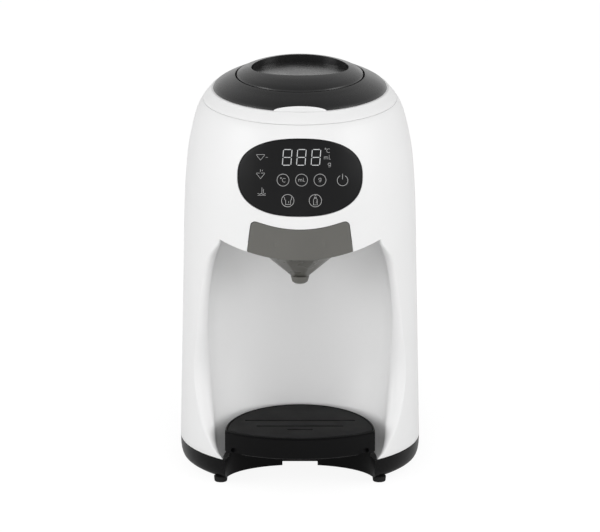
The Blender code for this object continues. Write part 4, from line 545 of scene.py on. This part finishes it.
lid_radius = 0.0642
lid_rise = 0.0198
lid_notch_y = 0.0610
lid_radii = [1.0, 0.991, 0.966, 0.903, 0.830, 0.748, 0.740, 0.732, 0.722, 0.640, 0.500, 0.25]
lid_rises = [0.0, 0.06, 0.14, 0.27, 0.388, 0.505, 0.485, 0.485, 0.545, 0.685, 0.83, 0.965]
lid_shell = 0.0018
lid_rim_bore = 0.0612
lid_rows, lid_inner_rows = 96, 20
groove_start_share, groove_end_share = 0.715, 0.755
groove_shares = [0.722, 0.730, 0.732, 0.740, 0.742, 0.750]
groove_inner_shares = (0.70, 0.78)
arm_half_width, arm_start_y, arm_top_radius = 0.0097, 0.0615, 0.0635
arm_proud, arm_edge = 0.0009, 0.0006

dish_half_width, dish_half_depth = 0.0360, 0.0280
dish_step, dish_fall, dish_crown = 0.0008, 0.0048, 0.0024
dish_shares = (1.0, 0.97, 0.9, 0.8, 0.65, 0.5, 0.35, 0.2, 0.1, 0.03)
dish_top = 0.32
dish_points = 128

pad_sections, pad_rows = 40, 6
pad_depth, pad_power, pad_fall = 0.0010, 1.3, 0.00002


def hinge_rod(name, radius, start, end, steps=48):
    return rod(name, radius, (start, hinge_y, hinge_z), (end, hinge_y, hinge_z), steps)


def make_top_ring():
    ring = column_body("top_ring_skin", ring_seam + gap, ring_top, count=ring_rows, edge=shell_edge)
    lip = turned("lip", [(0.0, ring_lip_top), (ring_lip_radius - gap, ring_lip_top),
                         (ring_lip_radius, ring_lip_top - gap), (ring_lip_radius, ring_lip_low),
                         (0.0, ring_lip_low)], ring_steps)
    join(ring, lip, *[hinge_rod("ear", hinge_radius, side * ear_start, side * ear_end) for side in (-1, 1)])
    bore = rod("bore", ring_bore, (0, 0, ring_seam - over), (0, 0, far), ring_steps)
    slot = box("slot", (-ear_start, hinge_slot_y, hinge_slot_low), (ear_start, column_radius, far))
    relief = box("relief", (-column_radius, ring_relief_y, ring_top + gap / 3),
                 (column_radius, column_radius, far))
    cut(ring, bore, slot, hinge_rod("pin_hole", pin_radius, -pin_reach, pin_reach, 24), relief)
    finish(ring, "housing", white, "top_ring", slot="white_shell")


def lid_height(radius):
    places = [1 - r for r in lid_radii]
    return shoulder_top + lid_rise * curve_value(places, lid_rises, 1 - radius / lid_radius)


def dish(name, grow, drop):
    """The finger recess as a cutter: an oval well with a gently falling, smooth floor."""
    half_width, half_depth = dish_half_width + grow, dish_half_depth + grow

    def ring_of(share):
        return oval(half_width * share, half_depth * share, half_depth * share, 2, 2, dish_points)

    rim = lid_height(dish_half_depth) - dish_step - drop
    rings = [[(x, y, dish_top) for x, y in ring_of(1.0)]]
    for share in dish_shares:
        rings.append([(x, y, rim - dish_fall * (y / half_depth + 1) / 2 - dish_crown * (x / half_width) ** 2)
                      for x, y in ring_of(share)])
    return loft(name, rings)


def lid_hollow():
    """The space under the lid's dome, a shell's thickness below it, without the groove."""
    profile = [(0.0, shoulder_top + lid_rise - lid_shell)]
    start, end = groove_inner_shares
    for i in range(1, lid_inner_rows):
        share = i / lid_inner_rows
        height = lid_height(lid_radius * (start if start < share < end else share))
        profile.append((lid_radius * share, min(height, profile[-1][1] + lid_shell) - lid_shell))
    profile += [(lid_rim_bore, lid_height(lid_rim_bore) - lid_shell), (lid_rim_bore, shoulder_top - over),
                (0.0, shoulder_top - over)]
    return cut(turned("hollow", profile, lid_steps), dish("well", lid_shell, lid_shell))


def make_lid():
    shares = [i / lid_rows for i in range(1, lid_rows + 1)]
    shares = ([s for s in shares if s < groove_start_share] + groove_shares
              + [s for s in shares if s > groove_end_share])
    profile = [(0.0, shoulder_top + lid_rise)]
    profile += [(lid_radius * s, lid_height(lid_radius * s)) for s in shares]
    lid = turned("lid_dome", profile + [(0.0, shoulder_top)], lid_steps)
    notch = box("notch", (-column_radius, -column_radius, ring_seam), (column_radius, -lid_notch_y, far))
    cut(lid, lid_hollow(), dish("dish", 0.0, 0.0), notch)
    arm = box("arm", (-arm_half_width, arm_start_y, hinge_z),
              (arm_half_width, hinge_y, lid_height(arm_top_radius) + arm_proud), arm_edge)
    join(lid, arm, hinge_rod("barrel", hinge_radius, -arm_half_width, arm_half_width))
    cut(lid, hinge_rod("pin_hole", pin_radius, -pin_reach, pin_reach, 24))
    finish(lid, "lid", charcoal, "lid", slot="charcoal_plastic", angle=28)


def make_thumb_pad():
    """The white ramp of the top ring that shows in the lid's notch."""
    half_width = math.sqrt(lid_radius**2 - lid_notch_y**2) - 2 * gap
    low = ring_top - pad_depth
    sections = []
    for i in range(pad_sections + 1):
        x = half_width * (2 * i / pad_sections - 1)
        back, front_edge = -lid_notch_y - gap, -math.sqrt(lid_radius**2 - x**2) - gap
        top = max(lid_height(math.hypot(x, lid_notch_y)) - gap, ring_top)
        section = [(x, back, low), (x, back, top)]
        for k in range(1, pad_rows + 1):
            t = k / pad_rows
            height = ring_top + (top - ring_top) * (1 - t) ** pad_power - pad_fall * t
            section.append((x, back + (front_edge - back) * t, height))
        sections.append(section + [(x, front_edge, low)])
    finish(loft("thumb_pad", sections), "housing", white, slot="white_shell", angle=50)


# The touch panel, with places on it given by the photograph's pixels

pixel, row_height, row_lean = 0.00074, 0.0007726, 0.3001
centre_column, centre_row, floor_row = 300, 266, 458.3
tilt, aim_z, camera_distance = math.radians(16.7), 0.14857, 15.0
print_rise = 0.00006
solver_start_z, solver_steps = 0.24, 12
patch_centre_share, patch_edge_share = 0.02, 0.3


def on_skin(x, z, rise):
    return (x, -math.sqrt((skin(z)[1] + rise) ** 2 - x**2), z)


def patch(name, outline, centre, thickness, edge, rings=14):
    """A plate with round rims that follows the column's skin: its outline scaled towards its centre."""
    def ring_at(share, rise, pull=0.0):
        points = []
        for x, z in outline:
            dx, dz = x - centre[0], z - centre[1]
            k = share - pull / math.hypot(dx, dz)
            points.append(on_skin(centre[0] + dx * k, centre[1] + dz * k, rise))
        return points

    shares = [patch_centre_share] + [k / rings for k in range(1, rings)]
    rows = [ring_at(share, 0.0) for share in shares]
    rows += [ring_at(1, 0.0, edge), ring_at(1, -edge * patch_edge_share, edge * patch_edge_share),
             ring_at(1, -edge), ring_at(1, -thickness)]
    rows += [ring_at(share, -thickness) for share in reversed(shares)]
    return loft(name, rows)


def at_pixel(px, py, rise):
    """The point of the skin, raised by rise, that the photograph shows at a pixel."""
    x = (px - centre_column) * pixel
    z = solver_start_z
    for _ in range(solver_steps):
        y = -math.sqrt((skin(z)[1] + rise) ** 2 - x**2)
        near = 1 - ((z - aim_z) * math.sin(tilt) - y * math.cos(tilt)) / camera_distance
        x = (px - centre_column) * pixel * near
        z = (floor_row - centre_row + (centre_row - py) * near) * row_height - row_lean * y
    return Vector((x, y, z))


def strokes(name, lines, width, look):
    """Thin printed lines on the lens, each a ribbon along points given in pixels."""
    bm = bmesh.new()
    for line in lines:
        closed = line[0] == line[-1]
        points = line[:-1] if closed else line
        count = len(points)
        rows = []
        for i, (px, py) in enumerate(points):
            a = points[(i - 1) % count] if closed or i > 0 else points[i]
            b = points[(i + 1) % count] if closed or i < count - 1 else points[i]
            along = Vector((b[0] - a[0], b[1] - a[1])).normalized()
            side = Vector((-along.y, along.x)) * (width / 2)
            if closed or 0 < i < count - 1:
                one = (Vector(points[i]) - Vector(a)).normalized()
                side = side / max(0.5, abs(one.dot(along)))
            rows.append([bm.verts.new(at_pixel(px + k * side.x, py + k * side.y, rise))
                         for k, rise in ((-1, print_rise), (1, print_rise), (1, 0.0), (-1, 0.0))])
        pairs = list(zip(rows, rows[1:])) + ([(rows[-1], rows[0])] if closed else [])
        for one, two in pairs:
            for k in range(4):
                bm.faces.new((one[k], one[(k + 1) % 4], two[(k + 1) % 4], two[k]))
        if not closed:
            bm.faces.new(rows[0])
            bm.faces.new(list(reversed(rows[-1])))
    finish(new_object(name, bm), "housing", look, slot="panel_gloss", angle=60)


def ring_line(cx, cy, r, start=0, end=360, steps=36):
    points = []
    for i in range(steps + 1):
        a = math.radians(start + (end - start) * i / steps)
        points.append((cx + r * math.cos(a), cy + r * math.sin(a)))
    if end - start == 360:
        points[-1] = points[0]
    return points


def letter_c(cx, cy, r):
    return [ring_line(cx, cy, r, 50, 310, 16)]


def letter_m(x, y, w, h):
    """A small m: its stem and two arches."""
    half = w / 2
    shoulder = y + 0.35 * h
    lines = [[(x, y + h), (x, y)]]
    for left in (x, x + half):
        lines.append([(left, shoulder), (left + 0.25 * half, y), (left + 0.75 * half, y),
                      (left + half, shoulder), (left + half, y + h)])
    return lines


def letter_l(x, y, w, h):
    return [[(x, y), (x, y + h), (x + w, y + h)]]


def letter_g(cx, cy, r):
    tail = [(cx + a * r, cy + b * r) for a, b in ((1, -1), (1, 1.3), (0.5, 2.1), (-0.8, 2.0))]
    return [ring_line(cx, cy, r, steps=14), tail]


def unit_lines(degree, c, m, l, g):
    return [ring_line(*degree, steps=10)] + letter_c(*c) + letter_m(*m) + letter_l(*l) + letter_g(*g)


def moved(lines, centre):
    return [[(x + centre[0], y + centre[1]) for x, y in line] for line in lines]


# The digits: their left sides, rows, width and lean, and where their bars start and end
digit_lefts = (282.3, 296.5, 311.1)
digit_top, digit_middle, digit_bottom, digit_foot = 149.4, 157.3, 165.1, 165.2
digit_width, digit_lean = 8.5, 0.078
bar_start, bar_end = 0.9, 7.6
end_gap, middle_gap = 0.5, 0.7

# The units degree C, m, L and g beside the digits and in the rings, each with its place and size
digit_units = ((325.6, 148.6, 0.6), (328.6, 150.6, 1.9), (324.2, 156.6, 3.6, 2.5), (329.2, 155.0, 1.6, 4.1),
               (329.4, 164.2, 1.3))
ring_units = ((280.9, 178.0, 0.55), (284.2, 180.2, 1.9), (298.6, 179.2, 3.4, 2.3), (303.4, 177.8, 1.5, 3.7),
              (319.9, 179.2, 1.2))

# The buttons' rings with their radii, and the power sign with its opening
cup_centre, bottle_centre = (287.7, 200.6), (315.4, 200.6)
button_rings = ((283.0, 180.0, 6.0), (301.6, 180.0, 6.0), (320.0, 180.0, 6.0), (*cup_centre, 6.2),
                (*bottle_centre, 6.2))
power_ring, power_opening = (342.6, 180.4, 5.3), (-62, 242)
power_bar = [(342.6, 173.7), (342.6, 179.2)]

# The pictures, as lines about their own centres
cup_lines = [[(-4.1, -3.6), (-3.1, -2.6), (-3.1, -1.2), (-2.1, -0.2), (-2.1, 3.8), (2.9, 3.8), (2.9, -0.2),
              (3.7, -1.2), (3.7, -4.0)], [(0.9, 0.6), (0.9, 2.4)]]
bottle_lines = [[(-1.9, 4.2), (-1.9, -1.0), (-1.1, -2.2), (1.1, -2.2), (1.9, -1.0), (1.9, 4.2), (-1.9, 4.2)],
                [(-1.0, -2.2), (-1.0, -3.4), (1.0, -3.4), (1.0, -2.2)],
                ring_line(0.0, -4.5, 0.8, 180, 360, 8), [(0.5, 0.4), (1.9, 0.4)], [(0.5, 2.2), (1.9, 2.2)]]
funnel_lines = [[(-4.3, 0.0), (4.3, 0.0)], [(-4.1, 0.6), (0.0, 5.6), (4.1, 0.6)]]
minus_lines = [[(5.1, 2.8), (7.1, 2.8)]]
drop_lines = [[(-0.1, -3.6), (-0.1, -1.4)], [(2.0, -3.2), (1.7, -2.0)]]
water_lines = [[(0.3, -6.0), (0.3, 0.2)], [(1.8, -4.4), (1.8, -0.4)],
               [(-4.0, -0.2), (-2.2, 0.8), (-0.4, 0.0), (1.4, 1.0), (4.0, 0.0)], [(-4.0, 1.8), (4.0, 1.8)]]
small_funnel, full_funnel, water_centre = (260.5, 154.4), (260.5, 173.0), (261.6, 193.4)
pictures = ((cup_lines, cup_centre), (bottle_lines, bottle_centre), (funnel_lines, small_funnel),
            (funnel_lines, full_funnel), (minus_lines, small_funnel), (drop_lines, full_funnel),
            (water_lines, water_centre))

# Line widths in pixels
digit_line, unit_line, ring_line_width, picture_line = 0.74, 0.36, 0.50, 0.38


def lean_at(row):
    return (digit_foot - row) * digit_lean


def make_panel():
    """The lens and what is printed on it."""
    lens = patch("touch_lens", panel_outline(), (0, panel_z), lens_thickness, lens_edge)
    finish(lens, "housing", panel_black, "panel_lens", slot="panel_gloss", angle=40)
    digits = []
    for left in digit_lefts:
        for top, bottom in ((digit_top + end_gap, digit_middle - middle_gap),
                            (digit_middle + middle_gap, digit_bottom - end_gap)):
            for x in (left, left + digit_width):
                digits.append([(x + lean_at(top), top), (x + lean_at(bottom), bottom)])
        for row in (digit_top, digit_middle, digit_bottom):
            digits.append([(left + bar_start + lean_at(row), row), (left + bar_end + lean_at(row), row)])
    strokes("digit_segments", digits, digit_line, digit_white)

    strokes("unit_signs", unit_lines(*digit_units), unit_line, print_grey)

    rings = [ring_line(*ring) for ring in button_rings] + [ring_line(*power_ring, *power_opening), power_bar]
    strokes("button_rings", rings, ring_line_width, print_grey)

    signs = unit_lines(*ring_units)
    for lines, centre in pictures:
        signs += moved(lines, centre)
    strokes("sign_prints", signs, picture_line, print_grey)


# The funnel drawer

plate_centre_height, plate_thickness, plate_edge, plate_rings = 0.0125, 0.0032, 0.0003, 10
drawer_half_width, drawer_bore, drawer_overlap = 0.0376, 0.0335, 0.0016
drawer_low, drawer_high = 0.1880, 0.1915
drawer_steps, bore_steps, funnel_steps = 48, 96, 160
spout_y = 0.0340
facet = 0.0022

# The funnel's section, round the outside and back up the inside: radius, height, depth of its flat front
funnel_rows = [
    (0.0331, 0.1975, 0), (0.0331, 0.1935, 0), (0.0357, 0.1935, 0), (0.0357, 0.1918, 0), (0.0331, 0.1918, 0),
    (0.0331, 0.1758, 0), (0.0327, 0.1750, 0), (0.0277, 0.1706, 0), (0.0277, 0.1706, facet),
    (0.0068, 0.1520, facet), (0.0069, 0.1520, 0), (0.0069, 0.1512, 0), (0.0063, 0.1487, 0),
    (0.0058, 0.1474, 0), (0.0046, 0.1464, 0), (0.0042, 0.1463, 0), (0.0027, 0.1463, 0), (0.0043, 0.1518, 0),
    (0.0074, 0.1546, facet), (0.0254, 0.1706, facet), (0.0262, 0.1714, 0), (0.0315, 0.1760, 0),
    (0.0315, 0.1975, 0), (0.0331, 0.1975, 0)]


def funnel_ring(radius, height, flat):
    """A ring of the funnel; where flat is set, the front is cut off straight by that depth."""
    points = []
    for i in range(funnel_steps):
        a = 2 * math.pi * (i + 0.5) / funnel_steps
        reach = radius
        if flat and math.sin(a) < 0:
            reach = min(radius, (radius - flat) / -math.sin(a))
        points.append((reach * math.cos(a), reach * math.sin(a) - spout_y, height))
    return points


def make_drawer():
    """The front plate with the frame behind it, and the funnel that hangs in the frame."""
    plate_centre = (0, bay_ceiling + plate_centre_height)
    holder = patch("drawer_front", plate_outline(), plate_centre, plate_thickness, plate_edge, plate_rings)
    skin_radius = skin(drawer_high)[1]
    side_y = math.sqrt(skin_radius**2 - drawer_half_width**2) - drawer_overlap
    line = [(-drawer_half_width, -spout_y), (-drawer_half_width, -side_y), (drawer_half_width, -side_y)]
    for i in range(drawer_steps):
        a = math.pi * i / drawer_steps
        line.append((drawer_half_width * math.cos(a), -spout_y + drawer_half_width * math.sin(a)))
    bar = box("bar", (-drawer_half_width / 2, -skin_radius + drawer_overlap, drawer_low),
              (drawer_half_width / 2, -side_y + plate_thickness, drawer_high))
    join(holder, prism("frame_ring", line, drawer_low, drawer_high), bar)
    cut(holder, rod("bore", drawer_bore, (0, -spout_y, drawer_low - over), (0, -spout_y, drawer_high + over),
                    bore_steps))
    finish(holder, "drawer", taupe, "funnel_holder", slot="taupe_plastic", angle=34)
    funnel = loft("funnel_cone", [funnel_ring(*row) for row in funnel_rows], closed=False)
    finish(funnel, "drawer", smoke, "funnel", slot="smoke_plastic", angle=24)


# Base, feet, tray and the deck under the tank

base_rear_power = 3.0
base_tuck = 0.0044
base_tuck_heights = [0.0, 0.088, 0.257, 0.527, 1.0]
base_tuck_shares = [1.0, 0.58, 0.28, 0.09, 0.0]
base_points, base_rows, base_row_power = 192, 16, 1.4
floor_top, pedestal_top = 0.0075, 0.0252
pedestal_half_width, pedestal_y, pedestal_rear = 0.0530, 0.0720, 0.0020
pedestal_steps = 48
scoop_half_width, scoop_depth, scoop_fillet, scoop_steps = 0.0555, 0.0406, 0.0008, 80
base_notch_half_width, base_notch_y = 0.0130, -0.0225

front_foot, rear_foot = (0.0586, -0.0576), (0.0500, 0.1420)
foot_steps = 48
foot_profile = [(0.0, 0.0039), (0.0050, 0.0039), (0.0050, 0.0030), (0.0047, 0.0004), (0.0043, 0.0),
                (0.0016, 0.0), (0.0012, 0.0005), (0.0, 0.0005)]

deck_top, deck_rows, coupler_hole = 0.0252, 6, 0.0123


def base_plan(height, inset=0.0):
    share = (height - base_bottom) / (base_top - base_bottom)
    tuck = base_tuck * curve_value(base_tuck_heights, base_tuck_shares, share) + inset
    radius = column_radius - tuck
    return oval(radius, radius, tank_reach - tuck, 2.0, base_rear_power, base_points)


def base_body(name, low, high, inset=0.0, count=base_rows):
    heights = [low + (high - low) * (i / count) ** base_row_power for i in range(count + 1)]
    return plan_loft(name, [base_plan(max(z, base_bottom), inset) for z in heights], heights)


def pedestal_outline(inset):
    depth = pedestal_y - pedestal_rear - inset
    half_width = pedestal_half_width - inset
    points = [(-half_width, -column_radius), (half_width, -column_radius)]
    for i in range(pedestal_steps + 1):
        a = math.pi * i / pedestal_steps
        points.append((half_width * math.cos(a), -pedestal_y + depth * math.sin(a)))
    return points


def scoop_outline(grow):
    """The arch between the front legs, with the square notch in its middle."""
    half_width, notch, depth = scoop_half_width + grow, base_notch_half_width + grow, scoop_depth + grow
    notch_y = base_notch_y + grow
    points = [(-half_width, -column_radius - over, 0), (half_width, -column_radius - over, 0)]
    for i in range(scoop_steps + 1):
        a = math.pi * i / scoop_steps
        x, y = half_width * math.cos(a), -pedestal_y + depth * math.sin(a)
        if abs(x) > notch:
            points.append((x, y, 0))
        elif abs(points[-1][0]) > notch:
            shoulder = -pedestal_y + depth * math.sqrt(1 - (notch / half_width) ** 2)
            points += [(notch, shoulder, 0), (notch, notch_y, 1), (-notch, notch_y, 1), (-notch, shoulder, 0)]
    return rounded(points, scoop_fillet, 4)


def make_base():
    pan = base_body("base_pan_skin", base_bottom, base_top)
    hollow = base_body("hollow", floor_top, base_top + over, wall)
    cut(hollow, bay_body("bay_zone", base_bottom - over, base_top + 2 * over, wall))
    under = prism("under", pedestal_outline(wall), floor_top + gap, pedestal_top - wall)
    cut(under, prism("scoop_wall", scoop_outline(wall), floor_top - gap, pedestal_top - wall / 2))
    cut(pan, hollow)
    join(pan, prism("pedestal", pedestal_outline(0.0), floor_top, pedestal_top))
    cut(pan, under, prism("scoop", scoop_outline(0.0), -over, pedestal_top + over))
    finish(pan, "housing", black, "base_pan", slot="black_plastic", angle=30)


def make_feet():
    for end, (x, y) in (("front", front_foot), ("rear", rear_foot)):
        for side, sign in (("left", -1), ("right", 1)):
            node = f"foot_{end}_{side}"
            pad = turned(node + "_pad", foot_profile, foot_steps, (sign * x, y))
            finish(pad, "housing", rubber, node, slot="rubber_foot", angle=40)


tray_low = 0.0255
tray_half_width, tray_front_gap, tray_rear_y = 0.0555, 0.0002, -0.0012
tray_fillet, tray_least_fillet, tray_points = 0.0009, 0.0002, 64

# The tray's section, up the outside, over the rim and down into the bowl: height, inset
tray_rows = [
    (0.0, 0.0012), (0.0003, 0.0005), (0.0009, 0.0001), (0.0016, 0.0), (0.0151, 0.0), (0.0152, 0.0007),
    (0.0158, 0.0007), (0.0159, 0.0), (0.0163, 0.0001), (0.0165, 0.0004), (0.0165, 0.0009), (0.0163, 0.0011),
    (0.0135, 0.0011), (0.0135, 0.0042), (0.0030, 0.0042), (0.0024, 0.0046), (0.0022, 0.0052)]
hollow_outline = [(-0.0054, -0.0100, 0), (0.0054, -0.0100, 0), (0.0044, 0.0046, 1), (-0.0044, 0.0046, 1)]
hollow_fillet, hollow_depth, hollow_x = 0.0024, 0.0032, 0.0474

tray_plate_inset, tray_plate_low, tray_plate_thickness, tray_plate_edge = 0.0019, 0.0394, 0.0025, 0.0003
slot_places = ((0.0421, 0.0410), (0.0563, 0.0323), (0.0653, 0.0096))
slot_half_height, slot_fillet = 0.0011, 0.00105


def tray_outline(inset):
    """The tray in plan: an oval back, and a front that follows the column's skin."""
    half_width, radius = tray_half_width - inset, column_radius - tray_front_gap - inset
    corner = math.asin(half_width / radius)
    points = []
    for i in range(tray_points):
        a = -math.pi / 2 - corner + 2 * corner * i / tray_points
        points.append((radius * math.cos(a), radius * math.sin(a), float(i == 0)))
    corner_y = -radius * math.cos(corner)
    depth = tray_rear_y - inset - corner_y
    for i in range(tray_points):
        a = math.pi * i / tray_points
        points.append((half_width * math.cos(a), corner_y + depth * math.sin(a), float(i == 0)))
    return rounded(points, max(tray_fillet - inset / 4, tray_least_fillet), 4)


def corner_hollow(side):
    """A rounded cutter for the hollow in a lower front corner of the tray."""
    radius = column_radius - tray_front_gap
    outline = [(x, tray_low + z) for x, z in rounded(hollow_outline, hollow_fillet)]
    cutter = prism("corner_hollow", outline, -radius - over, hollow_depth - radius, "Y")
    about = Matrix.Translation((0, column_y, 0))
    turn = Matrix.Rotation(side * math.asin(hollow_x / radius), 4, "Z")
    cutter.data.transform(about @ turn @ about.inverted())
    return cutter


def make_tray():
    tray = plan_loft("drip_tray_bowl", [tray_outline(inset) for _, inset in tray_rows],
                     [tray_low + z for z, _ in tray_rows])
    cut(tray, *[corner_hollow(side) for side in (-1, 1)])
    finish(tray, "tray", black, "drip_tray", slot="black_plastic", angle=34)

    high = tray_plate_low + tray_plate_thickness
    rows = [(tray_plate_low, 0.0), (high - tray_plate_edge, 0.0), (high, tray_plate_edge)]
    plate = plan_loft("slotted_plate", [tray_outline(tray_plate_inset + inset) for _, inset in rows],
                      [z for z, _ in rows])
    slots = []
    for place, half_length in slot_places:
        low_y, high_y = -place - slot_half_height, -place + slot_half_height
        outline = rounded([(-half_length, low_y, 1), (half_length, low_y, 1),
                           (half_length, high_y, 1), (-half_length, high_y, 1)], slot_fillet, 6)
        slots.append(prism("slot", outline, tray_plate_low - over, high + over))
    cut(plate, *slots)
    finish(plate, "tray_plate", tray_black, "tray_plate", slot="black_plastic", angle=34)


def make_tank_deck():
    deck = base_body("tank_deck_skin", base_top + gap, deck_top, count=deck_rows)
    hole = rod("coupler_hole", coupler_hole, (0, tank_y, 0), (0, tank_y, deck_top + over), 64)
    cut(deck, across(-far, dock_y + gap), hole)
    finish(deck, "housing", white, "tank_deck", slot="white_shell")


# Floor, light and camera

floor_size = 14.0
floor_grey, floor_shown_grey = (0.60, 0.60, 0.60, 1.0), (0.15, 0.15, 0.15, 1.0)
floor_shown_glow, floor_mirrored_glow = 0.91, 0.40
studio_white = (1, 1, 1, 1)
studio_light, studio_walls, studio_ceiling = 0.60, 1.0, 0.30
lamp_aim_z = 0.15
# The lamps: name, place, size, power, and whether glossy surfaces mirror it
lamps = (("front_light", (-0.1, -2.5, 0.28), 1.0, 15.5, False),
         ("left_light", (-1.7, -0.8, 0.7), 1.2, 11.5, True),
         ("right_light", (1.7, -0.8, 0.7), 1.2, 11.5, True))
sensor_width, lens_length, view_reach = 36, 1215, 100


def tree(owner):
    """Empties a node tree and gives a way to add nodes with links and values."""
    owner.use_nodes = True
    nodes, links = owner.node_tree.nodes, owner.node_tree.links
    nodes.clear()

    def add(kind, *sources, operation=None, **values):
        node = nodes.new(kind)
        if operation:
            node.operation = operation
        for key, value in values.items():
            node.inputs[key].default_value = value
        for index, source in enumerate(sources):
            if source is not None:
                links.new(source, node.inputs[index])
        return node

    return add


def stage_floor():
    """White to the camera with the object's shadow on it, a plain pale floor to the light."""
    bm = bmesh.new()
    bmesh.ops.create_grid(bm, x_segments=1, y_segments=1, size=floor_size)
    floor = new_object("floor", bm, False)
    made = bpy.data.materials.new("floor_white")
    add = tree(made)
    path = add("ShaderNodeLightPath")
    plain = add("ShaderNodeBsdfDiffuse", Color=floor_grey).outputs[0]
    pale = add("ShaderNodeBsdfDiffuse", Color=floor_shown_grey).outputs[0]
    shown_glow = add("ShaderNodeEmission", Strength=floor_shown_glow).outputs[0]
    shown = add("ShaderNodeAddShader", pale, shown_glow).outputs[0]
    mirrored_glow = add("ShaderNodeEmission", Strength=floor_mirrored_glow).outputs[0]
    mirrored = add("ShaderNodeAddShader", plain, mirrored_glow).outputs[0]
    shiny = add("ShaderNodeMath", path.outputs["Is Glossy Ray"], path.outputs["Is Transmission Ray"],
                operation="MAXIMUM").outputs[0]
    light = add("ShaderNodeMixShader", shiny, plain, mirrored).outputs[0]
    both = add("ShaderNodeMixShader", path.outputs["Is Camera Ray"], light, shown).outputs[0]
    add("ShaderNodeOutputMaterial", both)
    floor.data.materials.append(made)


def stage_world():
    """A white studio whose ceiling mirrors darker than its walls."""
    world = bpy.data.worlds.new("studio")
    bpy.context.scene.world = world
    add = tree(world)
    path = add("ShaderNodeLightPath")
    height = add("ShaderNodeSeparateXYZ", add("ShaderNodeTexCoord").outputs["Generated"]).outputs["Z"]
    ceiling = add("ShaderNodeMapRange", height, **{"To Min": studio_walls, "To Max": studio_ceiling})
    seen = add("ShaderNodeBackground", Color=studio_white).outputs[0]
    lit = add("ShaderNodeBackground", Color=studio_white, Strength=studio_light).outputs[0]
    mirrored = add("ShaderNodeBackground", None, ceiling.outputs["Result"], Color=studio_white).outputs[0]
    direct = add("ShaderNodeMath", path.outputs["Is Camera Ray"], path.outputs["Is Transmission Ray"],
                 operation="MAXIMUM").outputs[0]
    light = add("ShaderNodeMixShader", path.outputs["Is Glossy Ray"], lit, mirrored).outputs[0]
    both = add("ShaderNodeMixShader", direct, light, seen).outputs[0]
    add("ShaderNodeOutputWorld", both)


def stage_lamp(name, place, size, energy, glossy):
    light = bpy.data.lights.new(name, "AREA")
    light.shape = "DISK"
    light.size = size
    light.energy = energy
    obj = bpy.data.objects.new(name, light)
    obj.location = place
    target = Vector((0, column_y, lamp_aim_z))
    obj.rotation_euler = (target - Vector(place)).to_track_quat("-Z", "Y").to_euler()
    obj.visible_glossy = glossy
    bpy.context.scene.collection.objects.link(obj)


def stage_camera():
    camera_data = bpy.data.cameras.new("camera")
    camera_data.sensor_width = sensor_width
    camera_data.lens = lens_length
    camera_data.clip_end = view_reach
    camera = bpy.data.objects.new("camera", camera_data)
    aim = Vector((0, column_y, aim_z))
    camera.location = aim + camera_distance * Vector((0, -math.cos(tilt), math.sin(tilt)))
    camera.rotation_euler = (math.pi / 2 - tilt, 0, 0)
    bpy.context.scene.collection.objects.link(camera)
    bpy.context.scene.camera = camera


make_shells()
make_top_ring()
make_lid()
make_thumb_pad()
make_panel()
make_drawer()
make_base()
make_feet()
make_tray()
make_tank_deck()

stage_floor()
stage_world()
for lamp in lamps:
    stage_lamp(*lamp)
stage_camera()
bpy.context.scene.view_settings.view_transform = "Standard"
